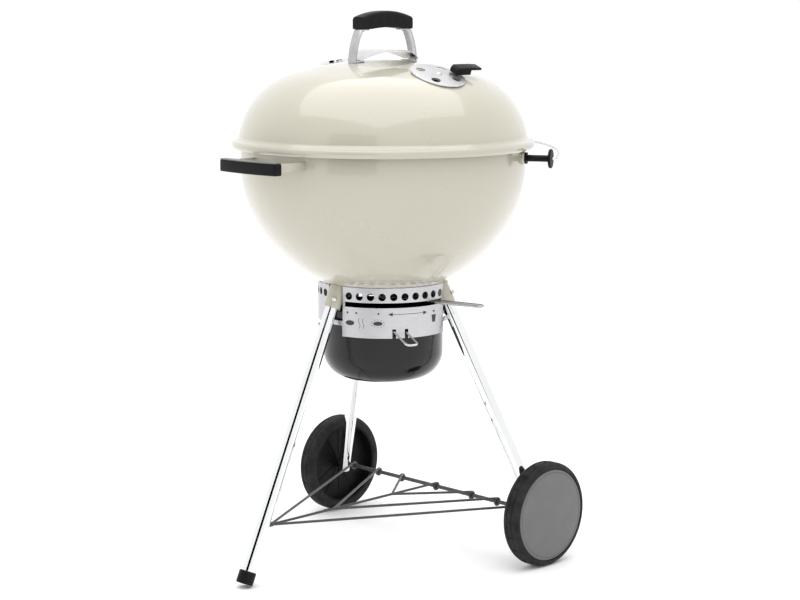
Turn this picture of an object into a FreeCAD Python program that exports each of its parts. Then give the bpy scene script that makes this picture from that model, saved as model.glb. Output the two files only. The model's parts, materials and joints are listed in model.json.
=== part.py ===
import FreeCAD, Part
import os
import re

import Sketcher

# Kettle charcoal grill, lid closed, standing on its front foot and two wheels.
# Frame: +Z up, the front handle and front leg at -Y, the wheel axle parallel to X at +Y, the floor at z = 0.
# The kettle's own vertical axis stands at x = 0, y = axis_y: the origin is under the middle of the grill.
# An azimuth is an angle in degrees about the kettle axis, counter-clockwise from the front (-Y) towards +X.
SIZES = {
    # whole grill
    "axis_y": 17.5,
    "steel": 1.5,
    "fit_gap": 0.1,
    "free_gap": 0.5,
    "press_gap": 0.05,
    "overcut": 40.0,
    # bowl
    "bowl_radius": 278.0,
    "belt_z": 784.5,
    "bowl_side_arc": 253.7,
    "bowl_floor_arc": 285.6,
    "bowl_lip_z": 823.2,
    "bowl_lip_radius": 281.0,
    "lip_roll": 3.0,
    "shaft_hole": 5.6,
    "vent_inner": 42.0,
    "vent_outer": 98.0,
    "vent_angle": 40.0,
    "tab_width": 14.0,
    "tab_thick": 2.0,
    "tab_reach": 14.0,
    # lid
    "lid_radius": 282.3,
    "skirt_z": 809.0,
    "lid_side_arc": 150.5,
    "lid_crown_arc": 610.0,
    "bead_radius": 294.8,
    "bead_low_z": 810.0,
    "bead_high_z": 825.0,
    "flare_z": 833.0,
    "bead_roll": 10.9,
    "bead_turn": 3.0,
    "bead_lip": 286.8,
    "flare_roll": 13.0,
    # legs
    "leg_tube": 12.7,
    "leg_wall": 1.2,
    "leg_lean": 24.4,
    "front_reach": 367.3,
    "rear_reach": 361.5,
    "rear_azimuth": 119.0,
    "leg_top": 590.0,
    "rear_leg_low": 98.0,
    "foot_radius": 16.5,
    "foot_length": 25.0,
    "foot_floor": 4.0,
    "foot_chamfer": 1.5,
    "plug_depth": 5.0,
    "plug_head": 1.9,
    "socket_low": 556.0,
    "socket_high": 620.0,
    "socket_radius": 16.6,
    "socket_neck": 14.9,
    "socket_straight": 28.0,
    "socket_screw_at": 572.0,
    "screw_turn": 45.0,
    "screw_radius": 2.4,
    "screw_head": 4.8,
    "screw_head_high": 2.6,
    # axle and wheels
    "wheel_radius": 102.2,
    "tyre_inner_x": 273.5,
    "tyre_outer_x": 311.5,
    "tyre_shoulder": 11.0,
    "rim_radius": 84.0,
    "rim_wall": 4.0,
    "web_x": 295.6,
    "web_thick": 3.0,
    "rib_high": 1.2,
    "rib_wide": 2.4,
    "rib_count": 12,
    "hub_radius": 13.0,
    "hub_end_x": 303.0,
    "axle_radius": 4.0,
    "axle_end_x": 307.0,
    "nut_radius": 8.0,
    "nut_thick": 2.5,
    "nut_gap": 0.6,
    "cap_radius": 89.4,
    "cap_step": 3.6,
    "cap_crown": 2.4,
    "cap_skin": 1.6,
    "cap_brim": 3.0,
    "cap_drop": 2.0,
    "cap_inset": 0.6,
    "cap_roll": 3.2,
    "cap_gap": 0.8,
    "rim_set": 1.0,
    "rib_bite": 1.0,
    # bottom rack
    "rack_wire": 2.5,
    "rack_front_y": -298.0,
    "rack_outer_x": 246.0,
    "rack_fork_y": -134.0,
    "rack_fork_x": 170.0,
    "rack_split_y": 25.0,
    "rack_split_x": 100.0,
    "lug_radius": 4.5,
    "lug_long": 9.0,
    "lug_inset": 4.6,
    # ash catcher
    "collar_radius": 128.0,
    "collar_low_z": 473.0,
    "panel_low_z": 452.3,
    "panel_azimuth": 60.0,
    "panel_angle": 104.0,
    "collar_high_z": 549.0,
    "collar_skin": 0.8,
    "hole_radius": 7.25,
    "hole_z": 532.0,
    "hole_count": 36,
    "notch_width": 38.0,
    "notch_z": 482.0,
    "slot_low_z": 511.0,
    "slot_high_z": 520.6,
    "slot_azimuth": 59.5,
    "slot_angle": 97.0,
    "slit_width": 7.0,
    "slit_z": 470.0,
    "pin_radius": 3.5,
    "pin_high": 3.5,
    "pin_round": 1.5,
    "pin_azimuth": 150.0,
    "pin_z": 464.0,
    "bucket_radius": 118.0,
    "bucket_low_z": 356.0,
    "bucket_high_z": 497.0,
    "bucket_arc": 52.0,
    "bucket_skin": 1.0,
    "bail_azimuth": 61.0,
    "bail_swing": 12.0,
    "bail_tilt": 19.0,
    "bail_wire": 2.2,
    "bail_half": 12.0,
    "bail_corner": 8.0,
    "bail_z": 464.0,
    "bail_reach": 52.0,
    "bail_inside": 22.0,
    # ash sweeper
    "sweep_gap": 0.8,
    "sweep_hub": 30.0,
    "blade_reach": 112.0,
    "blade_angle": 48.0,
    "shaft_radius": 5.0,
    "shaft_low_z": 509.0,
    "lever_azimuth": 101.0,
    "lever_wire": 2.5,
    "lever_half": 9.5,
    "lever_z": 515.8,
    "lever_reach": 230.6,
    "clamp_radius": 14.0,
    "clamp_half": 2.0,
    "clamp_bite": 6.0,
    "shaft_top": 4.0,
    # grates
    "fire_ring": 204.0,
    "fire_wire": 3.0,
    "fire_tab_z": 617.0,
    "fire_pitch": 30.0,
    "cook_ring": 266.0,
    "cook_wire": 3.0,
    "cook_tab_z": 762.0,
    "cook_bar": 2.0,
    "cook_pitch": 14.0,
    "hinge_x": 126.0,
    "hinge_bar": 2.5,
    "flap_ring": 257.0,
    "flap_wire": 2.5,
    "flap_chord_x": 139.0,
    "flap_arm_y": 60.0,
    "lift_loop": 30.0,
    "rest_gap": 0.3,
    "fire_cross_y": 75.0,
    "cook_cross_y": 90.0,
    # front handle
    "grip_half": 78.0,
    "grip_face_y": -354.0,
    "grip_bow": 7.0,
    "grip_back_y": -330.0,
    "grip_low_z": 779.0,
    "grip_high_z": 801.0,
    "tray_thick": 2.0,
    "tray_inset": 1.2,
    "strip_x": 70.0,
    "strip_thick": 3.0,
    "strip_low_z": 784.0,
    "strip_high_z": 800.0,
    "strip_tab": 14.0,
    "strip_end_y": -240.0,
    "handle_screw": 4.0,
    "handle_screw_high": 3.0,
    # lid holder
    "post_azimuth": 120.0,
    "post_z": 794.0,
    "post_pin": 3.0,
    "boss_radius": 10.5,
    "boss_flare": 3.0,
    "post_root": 240.0,
    "boss_end": 282.4,
    "flange_radius": 11.0,
    "flange_end": 286.6,
    "roller_radius": 6.35,
    "roller_end": 328.6,
    "disc_radius": 18.5,
    "disc_start": 329.2,
    "disc_end": 334.6,
    "disc_round": 1.2,
    "hoop_radius": 341.4,
    "hoop_wire": 2.5,
    "hoop_bend": 5.5,
    "hoop_tilt": 5.0,
    # lid handle
    "lid_grip_half": 66.5,
    "lid_grip_top": 1072.7,
    "lid_grip_shoulder": 1061.5,
    "lid_grip_under": 1041.0,
    "lid_grip_heel": 1038.0,
    "lid_grip_wide": 30.0,
    "lid_grip_round": 7.0,
    "strut_wide": 22.0,
    "strut_thick": 2.5,
    "strut_top_y": 65.0,
    "strut_low_y": 82.5,
    "strut_lug_y": 46.0,
    "strut_foot_y": 60.0,
    "strut_bow": 130.0,
    "strut_sink": 9.0,
    "grip_screw": 5.0,
    "grip_screw_high": 3.2,
    "grip_screw_in": 9.0,
    "shield_half_y": 77.0,
    "shield_half_x": 42.0,
    "shield_end": 20.0,
    "shield_z": 978.9,
    "shield_rise": 18.5,
    "shield_skin": 1.2,
    # lid damper and thermometer
    "damper_azimuth": 83.0,
    "damper_at": 172.0,
    "damper_tilt": 21.0,
    "damper_lift": 1.8,
    "damper_radius": 53.0,
    "damper_crown": 500.0,
    "damper_skin": 1.2,
    "damper_hole": 9.0,
    "damper_pitch": 35.0,
    "rivet_radius": 4.0,
    "rivet_crown": 3.4,
    "rivet_long": 6.0,
    "rivet_brim": 2.0,
    "tab_long": 59.0,
    "tab_past": 40.0,
    "tab_plate": 24.0,
    "tab_leaf": 5.0,
    "tab_broad": 22.0,
    "tab_high": 14.0,
    "gauge_azimuth": 264.0,
    "gauge_at": 155.0,
    "gauge_radius": 29.5,
    "gauge_high": 11.0,
    "gauge_seat": 2.2,
    "gauge_round": 3.0,
    "gauge_rim": 6.0,
    "gauge_floor": 2.0,
    "dial_thick": 1.0,
    "glass_thick": 1.5,
    "glass_sink": 2.5,
    "stem_radius": 4.0,
    "stem_long": 58.0,
    "needle_long": 19.0,
    "needle_tail": 6.0,
    "needle_foot": 1.4,
    "needle_tip": 0.5,
    "needle_thick": 0.8,
    "needle_pin": 1.3,
    "needle_lift": 3.6,
}

UPRIGHT = "rotation(vector(0;0;1);0)"
ALONG_X = "rotation(vector(0;1;0);90)"
OUTWARD = "rotation(vector(1;0;0);90)"
ALIAS = re.compile(r"\b(" + "|".join(sorted(SIZES, key=len, reverse=True)) + r")\b")

doc = FreeCAD.newDocument("KettleGrill")
sheet = doc.addObject("Spreadsheet::Sheet", "Sizes")
for row, (alias, number) in enumerate(SIZES.items(), start=1):
    sheet.set(f"A{row}", alias.replace("_", " "))
    sheet.set(f"B{row}", str(number))
    sheet.setAlias(f"B{row}", alias)
doc.recompute()

nodes = []


# ---------------------------------------------------------------- sheet and placement

def value(expression):
    """The number that an expression of the sheet's sizes has now."""
    result = sheet.evalExpression(expression)
    return float(getattr(result, "Value", result))


def bind(thing, prop, expression):
    """Drive a property by an expression that names the sheet's sizes."""
    thing.setExpression(prop, ALIAS.sub(r"Sizes.\1", expression))


def place(thing, x="0", y="0", z="0", turn=UPRIGHT, azimuth="0"):
    """Stand a piece at x, y, z beside the kettle axis, then turn it about that axis to its azimuth."""
    about = f"placement(vector(0;axis_y;0);rotation(vector(0;0;1);{azimuth}))"
    bind(thing, "Placement", f"{about} * placement(vector({x};{y};{z});{turn})")


def local(thing, x="0", y="0", z="0", turn=UPRIGHT):
    """Stand a tool or blank at x, y, z in the frame of the piece it helps to make."""
    bind(thing, "Placement", f"placement(vector({x};{y};{z});{turn})")


def keep(thing, label):
    """Give a finished piece its name and list it as a node."""
    thing.Label = label
    nodes.append(thing)
    return thing


def keep_group(pieces, label, placed=True):
    """List identical separate pieces as one node, standing it beside the kettle axis if they do not yet."""
    group = doc.addObject("Part::Compound", "Group")
    group.Links = pieces
    if not placed:
        place(group)
    return keep(group, label)


# ---------------------------------------------------------------- sketches

def pin_vertex(sketch, edge, end, x, y):
    """Fix one end of an edge at x, y."""
    for kind, axis, expression in (("DistanceX", -2, x), ("DistanceY", -1, y)):
        if expression == "0":
            sketch.addConstraint(Sketcher.Constraint("PointOnObject", edge, end, axis))
            continue
        index = sketch.addConstraint(Sketcher.Constraint(kind, -1, 1, edge, end, value(expression)))
        bind(sketch, f"Constraints[{index}]", expression)


def add_edge(sketch, first, last, arc):
    """Draw a line, or an arc of a radius bent to the left (+1) or right (-1); give its start's end number."""
    start = FreeCAD.Vector(value(first[0]), value(first[1]), 0)
    finish = FreeCAD.Vector(value(last[0]), value(last[1]), 0)
    if arc is None:
        sketch.addGeometry(Part.LineSegment(start, finish))
        return 1
    radius, side = arc
    chord = finish - start
    reach = value(radius)
    height = max(reach ** 2 - (chord.Length / 2) ** 2, 0) ** 0.5
    left = FreeCAD.Vector(-chord.y, chord.x, 0).normalize()
    centre = (start + finish) * 0.5 + left * (side * height)
    middle = centre - left * (side * reach)
    edge = sketch.addGeometry(Part.ArcOfCircle(start, middle, finish))
    index = sketch.addConstraint(Sketcher.Constraint("Radius", edge, reach))
    bind(sketch, f"Constraints[{index}]", radius)
    return 1 if side > 0 else 2


def outline(sketch, points, arcs=None, closed=True):
    """Draw a chain of lines and arcs through points whose places are expressions."""
    arcs = arcs or {}
    count = len(points) if closed else len(points) - 1
    first_edge = sketch.GeometryCount
    starts = []
    for step in range(count):
        starts.append(add_edge(sketch, points[step], points[(step + 1) % len(points)], arcs.get(step)))
    for step in range(count):
        pin_vertex(sketch, first_edge + step, starts[step], *points[step])
    for step in range(count if closed else count - 1):
        after = (step + 1) % count
        joined = (first_edge + step, 3 - starts[step], first_edge + after, starts[after])
        sketch.addConstraint(Sketcher.Constraint("Coincident", *joined))
    if not closed:
        pin_vertex(sketch, first_edge + count - 1, 3 - starts[-1], *points[-1])


def circle(sketch, x, y, radius):
    """Draw a circle about x, y."""
    centre = FreeCAD.Vector(value(x), value(y), 0)
    edge = sketch.addGeometry(Part.Circle(centre, FreeCAD.Vector(0, 0, 1), value(radius)))
    index = sketch.addConstraint(Sketcher.Constraint("Radius", edge, value(radius)))
    bind(sketch, f"Constraints[{index}]", radius)
    pin_vertex(sketch, edge, 3, x, y)


def sketch_on(body, plane, turned="0"):
    """A sketch on one of a body's own planes, turned about the sketch's upright axis."""
    sketch = body.newObject("Sketcher::SketchObject", "Outline")
    support = next(item for item in body.Origin.OriginFeatures if item.Role == plane)
    sketch.AttachmentSupport = [(support, "")]
    sketch.MapMode = "FlatFace"
    bind(sketch, "AttachmentOffset", f"placement(vector(0;0;0);rotation(vector(0;1;0);{turned}))")
    return sketch


# ---------------------------------------------------------------- bodies

def new_body(name):
    return doc.addObject("PartDesign::Body", name)


def revolve(body, points, arcs=None, angle="360", turned="0"):
    """Spin an outline of (radius, height) points about the body's Z axis, centred on its own plane."""
    sketch = sketch_on(body, "XZ_Plane", turned)
    outline(sketch, points, arcs)
    feature = body.newObject("PartDesign::Revolution", "Revolution")
    feature.Profile = sketch
    feature.ReferenceAxis = (sketch, ["V_Axis"])
    feature.Midplane = True
    bind(feature, "Angle", angle)
    return feature


def groove(body, points, angle, turned="0"):
    """Cut a sector out of a body: an outline spun part of the way about its Z axis."""
    sketch = sketch_on(body, "XZ_Plane", turned)
    outline(sketch, points)
    feature = body.newObject("PartDesign::Groove", "Groove")
    feature.Profile = sketch
    feature.ReferenceAxis = (sketch, ["V_Axis"])
    feature.Midplane = True
    bind(feature, "Angle", angle)
    return feature


def pad(body, plane, points, length, arcs=None, middle=True):
    """Raise an outline by a length, to both sides of its plane or to one."""
    sketch = sketch_on(body, plane)
    outline(sketch, points, arcs)
    feature = body.newObject("PartDesign::Pad", "Pad")
    feature.Profile = sketch
    feature.Midplane = middle
    bind(feature, "Length", length)
    return feature


def pocket(body, sketch, length, middle=False):
    """Cut a sketch's shape out of a body to a length, towards -Y from an upright plane."""
    feature = body.newObject("PartDesign::Pocket", "Pocket")
    feature.Profile = sketch
    feature.Midplane = middle
    feature.Reversed = True
    bind(feature, "Length", length)
    return feature


def repeat_round(body, feature, count):
    """Repeat a feature evenly about the body's Z axis."""
    pattern = body.newObject("PartDesign::PolarPattern", "PolarPattern")
    pattern.Originals = [feature]
    pattern.Axis = (next(item for item in body.Origin.OriginFeatures if item.Role == "Z_Axis"), [""])
    pattern.Angle = 360
    bind(pattern, "Occurrences", count)
    body.Tip = pattern
    return pattern


def turned_body(name, points, arcs=None):
    """A body that is one full revolution."""
    body = new_body(name)
    revolve(body, points, arcs)
    return body


def ring_points(inner, outer, low, high):
    """The four corners of a plain ring's section."""
    return [(inner, low), (outer, low), (outer, high), (inner, high)]


def screw_head(radius, height):
    """A plain domed screw head, a chamfer round its top."""
    rim = f"({radius} * 0.625)"
    return turned_body("ScrewHead", [("0", "0"), (radius, "0"), (radius, f"({height} - 1)"), (rim, height),
                                     ("0", height)])


# ---------------------------------------------------------------- primitives and booleans

def cylinder(radius, height, name="Cylinder"):
    shape = doc.addObject("Part::Cylinder", name)
    bind(shape, "Radius", radius)
    bind(shape, "Height", height)
    return shape


def box(wide, deep, high, name="Box"):
    shape = doc.addObject("Part::Box", name)
    bind(shape, "Length", wide)
    bind(shape, "Width", deep)
    bind(shape, "Height", high)
    return shape


def torus(radius, wire, sweep="360", name="Torus"):
    shape = doc.addObject("Part::Torus", name)
    bind(shape, "Radius1", radius)
    bind(shape, "Radius2", wire)
    bind(shape, "Angle3", sweep)
    return shape


def level_rod(wire, start, finish):
    """A round bar lying level from one x, y, z to another x, y at the same height."""
    across = f"(({finish[0]}) - ({start[0]}))"
    along = f"(({finish[1]}) - ({start[1]}))"
    rod = cylinder(wire, f"sqrt({across}^2 + {along}^2)", "Rod")
    local(rod, *start, turn=f"rotation(vector(-1 * {along};{across};0);90)")
    return rod


def fuse(pieces, name="Weldment"):
    joined = doc.addObject("Part::MultiFuse", name)
    joined.Shapes = pieces
    return joined


def cut(base, tools, name="Trimmed"):
    """Cut one or more tools out of a base."""
    trimmed = doc.addObject("Part::Cut", name)
    trimmed.Base = base
    trimmed.Tool = tools[0] if len(tools) == 1 else fuse(tools, "Tools")
    return trimmed


def bent_wire(name, points, arcs, wire):
    """A round wire along a flat path that starts with a straight stretch."""
    path = doc.addObject("Sketcher::SketchObject", "Path")
    outline(path, points, arcs, closed=False)
    (x0, y0), (x1, y1) = points[:2]
    section = doc.addObject("Part::Circle", "Section")
    bind(section, "Radius", wire)
    local(section, x0, y0, "0", f"rotation(vector(({y0}) - ({y1});({x1}) - ({x0});0);90)")
    sweep = doc.addObject("Part::Sweep", name)
    sweep.Sections = [section]
    sweep.Spine = (path, [f"Edge{number}" for number in range(1, len(points))])
    sweep.Solid = True
    return sweep


# ---------------------------------------------------------------- the two enamelled shells

class Dome:
    """A round shell's outer surface: a side arc that meets a flatter cap arc without a corner."""

    def __init__(self, radius, level, side, cap, up):
        self.radius = radius
        self.level = level
        self.side_arc = side
        self.cap_arc = cap
        self.up = up
        rise = f"sqrt(({cap} - {side})^2 - ({radius} - {side})^2)"
        self.centre = f"({level} - {up} * {rise})"

    def cap(self, radius, skin="0"):
        """The point of the cap arc at a radius, a skin inside the outer surface."""
        return radius, f"({self.centre} + {self.up} * sqrt(({self.cap_arc} - {skin})^2 - ({radius})^2))"

    def join(self, skin="0"):
        """The point where the cap arc meets the side arc."""
        share = f"({self.radius} - {self.side_arc}) / ({self.cap_arc} - {self.side_arc})"
        return self.cap(f"(({self.cap_arc} - {skin}) * {share})", skin)

    def side(self, height, skin="0"):
        """The point of the side arc at a height."""
        reach = f"sqrt(({self.side_arc} - {skin})^2 - ({height} - {self.level})^2)"
        return f"({self.radius} - {self.side_arc} + {reach})", height


BOWL = Dome("bowl_radius", "belt_z", "bowl_side_arc", "bowl_floor_arc", "-1")
LID = Dome("lid_radius", "skirt_z", "lid_side_arc", "lid_crown_arc", "1")


def bowl_envelope():
    """A solid that fills the bowl out to just beyond its outer surface, for trimming what is welded to it."""
    top = "(belt_z + 0.75 * overcut)"
    points = [BOWL.cap("0", "-1 * fit_gap"), BOWL.join("-1 * fit_gap"), BOWL.side(top, "-1 * fit_gap"),
              ("0", top)]
    arcs = {0: ("bowl_floor_arc + fit_gap", 1), 1: ("bowl_side_arc + fit_gap", 1)}
    return turned_body("BowlEnvelope", points, arcs)


def lid_envelope():
    """A solid that fills the lid out to just beyond its outer surface."""
    points = [("0", "flare_z"), LID.side("flare_z", "-1 * fit_gap"), LID.join("-1 * fit_gap")]
    points.append(LID.cap("0", "-1 * fit_gap"))
    arcs = {1: ("lid_side_arc + fit_gap", 1), 2: ("lid_crown_arc + fit_gap", 1)}
    return turned_body("LidEnvelope", points, arcs)


def bowl_tab(at_z, azimuth):
    """A shelf tab inside the bowl that a grate stands on."""
    wall = BOWL.side(at_z, "steel")[0]
    if at_z == "fire_tab_z":
        wall = f"sqrt((bowl_floor_arc - steel)^2 - ({BOWL.centre} - {at_z})^2)"
    tab = box("tab_width", "tab_reach + steel / 2", "tab_thick", "Tab")
    shift = f"placement(vector(-0.5 * tab_width;-1 * ({wall}) - steel / 2;{at_z} - tab_thick / 2);{UPRIGHT})"
    bind(tab, "Placement", f"placement(vector(0;0;0);rotation(vector(0;0;1);{azimuth})) * {shift}")
    return tab


def make_bowl():
    body = new_body("BowlShell")
    lip_foot = "(bowl_lip_z - 2.5 * lip_roll)"
    points = [BOWL.cap("shaft_hole"), BOWL.join(), BOWL.side(f"({lip_foot} - lip_roll)")]
    points += [("bowl_lip_radius", "bowl_lip_z - lip_roll"), ("bowl_lip_radius + lip_roll", "bowl_lip_z")]
    points.append(("bowl_lip_radius", "bowl_lip_z + lip_roll"))
    points += [BOWL.side(lip_foot, "steel"), BOWL.join("steel"), BOWL.cap("shaft_hole", "steel")]
    arcs = {0: ("bowl_floor_arc", 1), 1: ("bowl_side_arc", 1), 3: ("lip_roll", 1), 4: ("lip_roll", 1)}
    arcs[6] = ("bowl_side_arc - steel", -1)
    arcs[7] = ("bowl_floor_arc - steel", -1)
    revolve(body, points, arcs)
    floor = BOWL.cap("0")[1]
    vent = ring_points("vent_inner", "vent_outer", f"({floor} - overcut)", f"({floor} + 2 * overcut)")
    repeat_round(body, groove(body, vent, "vent_angle"), "3")
    tabs = []
    for level in ("cook_tab_z", "fire_tab_z"):
        tabs += [bowl_tab(level, azimuth) for azimuth in ("45", "135", "225", "315")]
    bowl = fuse([body] + tabs)
    place(bowl)
    keep(bowl, "bowl")


def make_lid_shell():
    skirt = LID.side("flare_z")
    inner = LID.side("flare_z", "steel")
    face = "(bead_radius - bead_turn)"
    points = [LID.cap("0"), LID.join(), skirt, (face, "bead_high_z"), (face, "bead_low_z")]
    points += [("bead_lip", "bead_low_z"), ("bead_lip", "bead_low_z + steel")]
    points += [(f"({face} - steel)", "bead_low_z + steel"), (f"({face} - steel)", "bead_high_z - steel")]
    points += [inner, LID.join("steel"), LID.cap("0", "steel")]
    arcs = {0: ("lid_crown_arc", -1), 1: ("lid_side_arc", -1), 2: ("flare_roll", 1), 3: ("bead_roll", -1)}
    arcs[7] = ("bead_roll - steel", 1)
    arcs[8] = ("flare_roll + steel", -1)
    arcs[9] = ("lid_side_arc - steel", 1)
    arcs[10] = ("lid_crown_arc - steel", 1)
    shell = turned_body("LidShell", points, arcs)
    over_damper = f"placement(vector(0;0;0);rotation(vector(0;0;1);damper_azimuth)) * {damper_frame()}"
    over_gauge = f"placement(vector(0;0;0);rotation(vector(0;0;1);gauge_azimuth)) * {gauge_frame()}"
    holes = [("rivet_radius - 1", "0", "0", over_damper), ("stem_radius + fit_gap", "0", "0", over_gauge)]
    for angle in (45, 135, 225, 315):
        holes.append(("damper_hole", f"damper_pitch * cos({angle})", f"damper_pitch * sin({angle})", over_damper))
    drills = []
    for radius, x, y, frame in holes:
        drill = cylinder(radius, "overcut", "Drill")
        bind(drill, "Placement", f"{frame} * placement(vector({x};{y};-0.5 * overcut);{UPRIGHT})")
        drills.append(drill)
    lid = cut(shell, drills)
    place(lid)
    keep(lid, "lid_shell")


# ---------------------------------------------------------------- frames on the lid

def damper_frame():
    """Placement of the damper's centre, standing off the dome, before its turn to its azimuth."""
    spot = f"vector(0;-1 * damper_at;{LID.cap('damper_at')[1]} + damper_lift)"
    return f"placement({spot};rotation(vector(1;0;0);damper_tilt))"


def gauge_frame():
    """Placement of the thermometer's centre on the dome, square to it, before its turn to its azimuth."""
    spot = f"vector(0;-1 * gauge_at;{LID.cap('gauge_at')[1]})"
    return f"placement({spot};rotation(vector(1;0;0);asin(gauge_at / lid_crown_arc)))"


def place_on(thing, frame, azimuth, x="0", y="0", z="0", turn=UPRIGHT):
    """Stand a piece in one of the frames on the lid."""
    about = f"placement(vector(0;axis_y;0);rotation(vector(0;0;1);{azimuth}))"
    bind(thing, "Placement", f"{about} * {frame} * placement(vector({x};{y};{z});{turn})")


# ---------------------------------------------------------------- legs and foot

def leg_place(thing, azimuth, reach):
    """Stand a piece on a leg: its Z axis runs up the leg from where the leg's line meets the floor."""
    place(thing, y=f"-1 * {reach}", turn="rotation(vector(1;0;0);-1 * leg_lean)", azimuth=azimuth)


def make_leg(label, azimuth, reach, low, bored):
    tube = turned_body("LegTube", ring_points("leg_tube - leg_wall", "leg_tube", low, "leg_top"))
    leg_place(tube, azimuth, reach)
    if not bored:
        return keep(tube, label)
    bore = cylinder("axle_radius + fit_gap", "2 * overcut", "AxleBore")
    side = 1 if azimuth == "rear_azimuth" else -1
    middle = f"{side} * ({AXLE_REACH}) * sin(rear_azimuth) - overcut"
    local(bore, middle, f"{AXLE_Y} + axis_y", "wheel_radius", ALONG_X)
    return keep(cut(tube, [bore]), label)


AXLE_REACH = "(rear_reach - wheel_radius * tan(leg_lean))"
AXLE_Y = f"(-1 * {AXLE_REACH} * cos(rear_azimuth))"
SOLE = "(foot_radius * tan(leg_lean))"


def make_foot_cap():
    low = SOLE
    floor = f"({SOLE} + foot_floor)"
    high = f"({SOLE} + foot_length)"
    bore = "(leg_tube + fit_gap)"
    chamfer = "foot_chamfer"
    points = [("0", low), (f"foot_radius - {chamfer}", low), ("foot_radius", f"{low} + {chamfer}")]
    points += [("foot_radius", f"{high} - {chamfer}"), (f"foot_radius - {chamfer}", high)]
    points += [(bore, high), (bore, floor), ("0", floor)]
    cap = turned_body("FootCap", points)
    leg_place(cap, "0", "front_reach")
    keep(cap, "foot_cap")


def make_leg_plugs():
    bore = "(leg_tube - leg_wall - fit_gap)"
    low = "(rear_leg_low - 2)"
    points = [("0", low), ("leg_tube", low), ("leg_tube", f"{low} + plug_head"), (bore, f"{low} + plug_head"),
              (bore, f"{low} + plug_depth"), ("0", f"{low} + plug_depth")]
    plugs = []
    for azimuth in ("rear_azimuth", "-1 * rear_azimuth"):
        plug = turned_body("LegPlug", points)
        leg_place(plug, azimuth, "rear_reach")
        plugs.append(plug)
    keep_group(plugs, "leg_plugs")


def leg_frame(azimuth, reach):
    """Placement of a leg's foot with its Z axis up the leg, about the kettle axis."""
    about = f"placement(vector(0;0;0);rotation(vector(0;0;1);{azimuth}))"
    return f"{about} * placement(vector(0;-1 * {reach};0);rotation(vector(1;0;0);-1 * leg_lean))"


def screw_line(azimuth, start):
    """Placement on a socket screw's line, its Z axis outward; the front screw is turned to the right."""
    turned = "screw_turn" if azimuth == "0" else "0"
    across = f"placement(vector(0;0;socket_screw_at);rotation(vector(0;0;1);{turned}))"
    return f"{across} * placement(vector(0;{start};0);{OUTWARD})"


def make_socket(label, azimuth, reach):
    bore = "(leg_tube + fit_gap)"
    points = [(bore, "socket_low"), ("socket_radius", "socket_low"),
              ("socket_radius", "socket_low + socket_straight"), ("socket_neck", "socket_high"),
              (bore, "socket_high")]
    socket = turned_body("SocketBlank", points)
    bind(socket, "Placement", leg_frame(azimuth, reach))
    hole = cylinder("screw_radius + fit_gap", "overcut", "ScrewHole")
    bind(hole, "Placement", f"{leg_frame(azimuth, reach)} * {screw_line(azimuth, '-0.5 * leg_tube')}")
    welded = cut(socket, [bowl_envelope(), hole])
    place(welded)
    keep(welded, label)


def make_socket_screws():
    legs = (("0", "front_reach"), ("rear_azimuth", "rear_reach"), ("-1 * rear_azimuth", "rear_reach"))
    seat = "-1 * (leg_tube + 2 * fit_gap)"
    face = "-1 * (socket_radius + fit_gap)"
    screws = []
    for azimuth, reach in legs:
        shank = cylinder("screw_radius", "(socket_radius - leg_tube + 3 * fit_gap)", "Shank")
        bind(shank, "Placement", f"{leg_frame(azimuth, reach)} * {screw_line(azimuth, seat)}")
        head = cylinder("screw_head", "screw_head_high", "Head")
        bind(head, "Placement", f"{leg_frame(azimuth, reach)} * {screw_line(azimuth, face)}")
        screws.append(fuse([shank, head], "Screw"))
    keep_group(screws, "socket_screws", placed=False)


# ---------------------------------------------------------------- axle and wheels

def make_axle():
    axle = cylinder("axle_radius", "2 * axle_end_x", "Axle")
    place(axle, "-1 * axle_end_x", AXLE_Y, "wheel_radius", ALONG_X)
    keep(axle, "axle")


def wheel_place(thing, side):
    """Stand a wheel piece on the axle line with its Z axis pointing outward from the grill."""
    place(thing, y=AXLE_Y, z="wheel_radius", turn=f"rotation(vector(0;1;0);{90 * side})")


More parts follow.
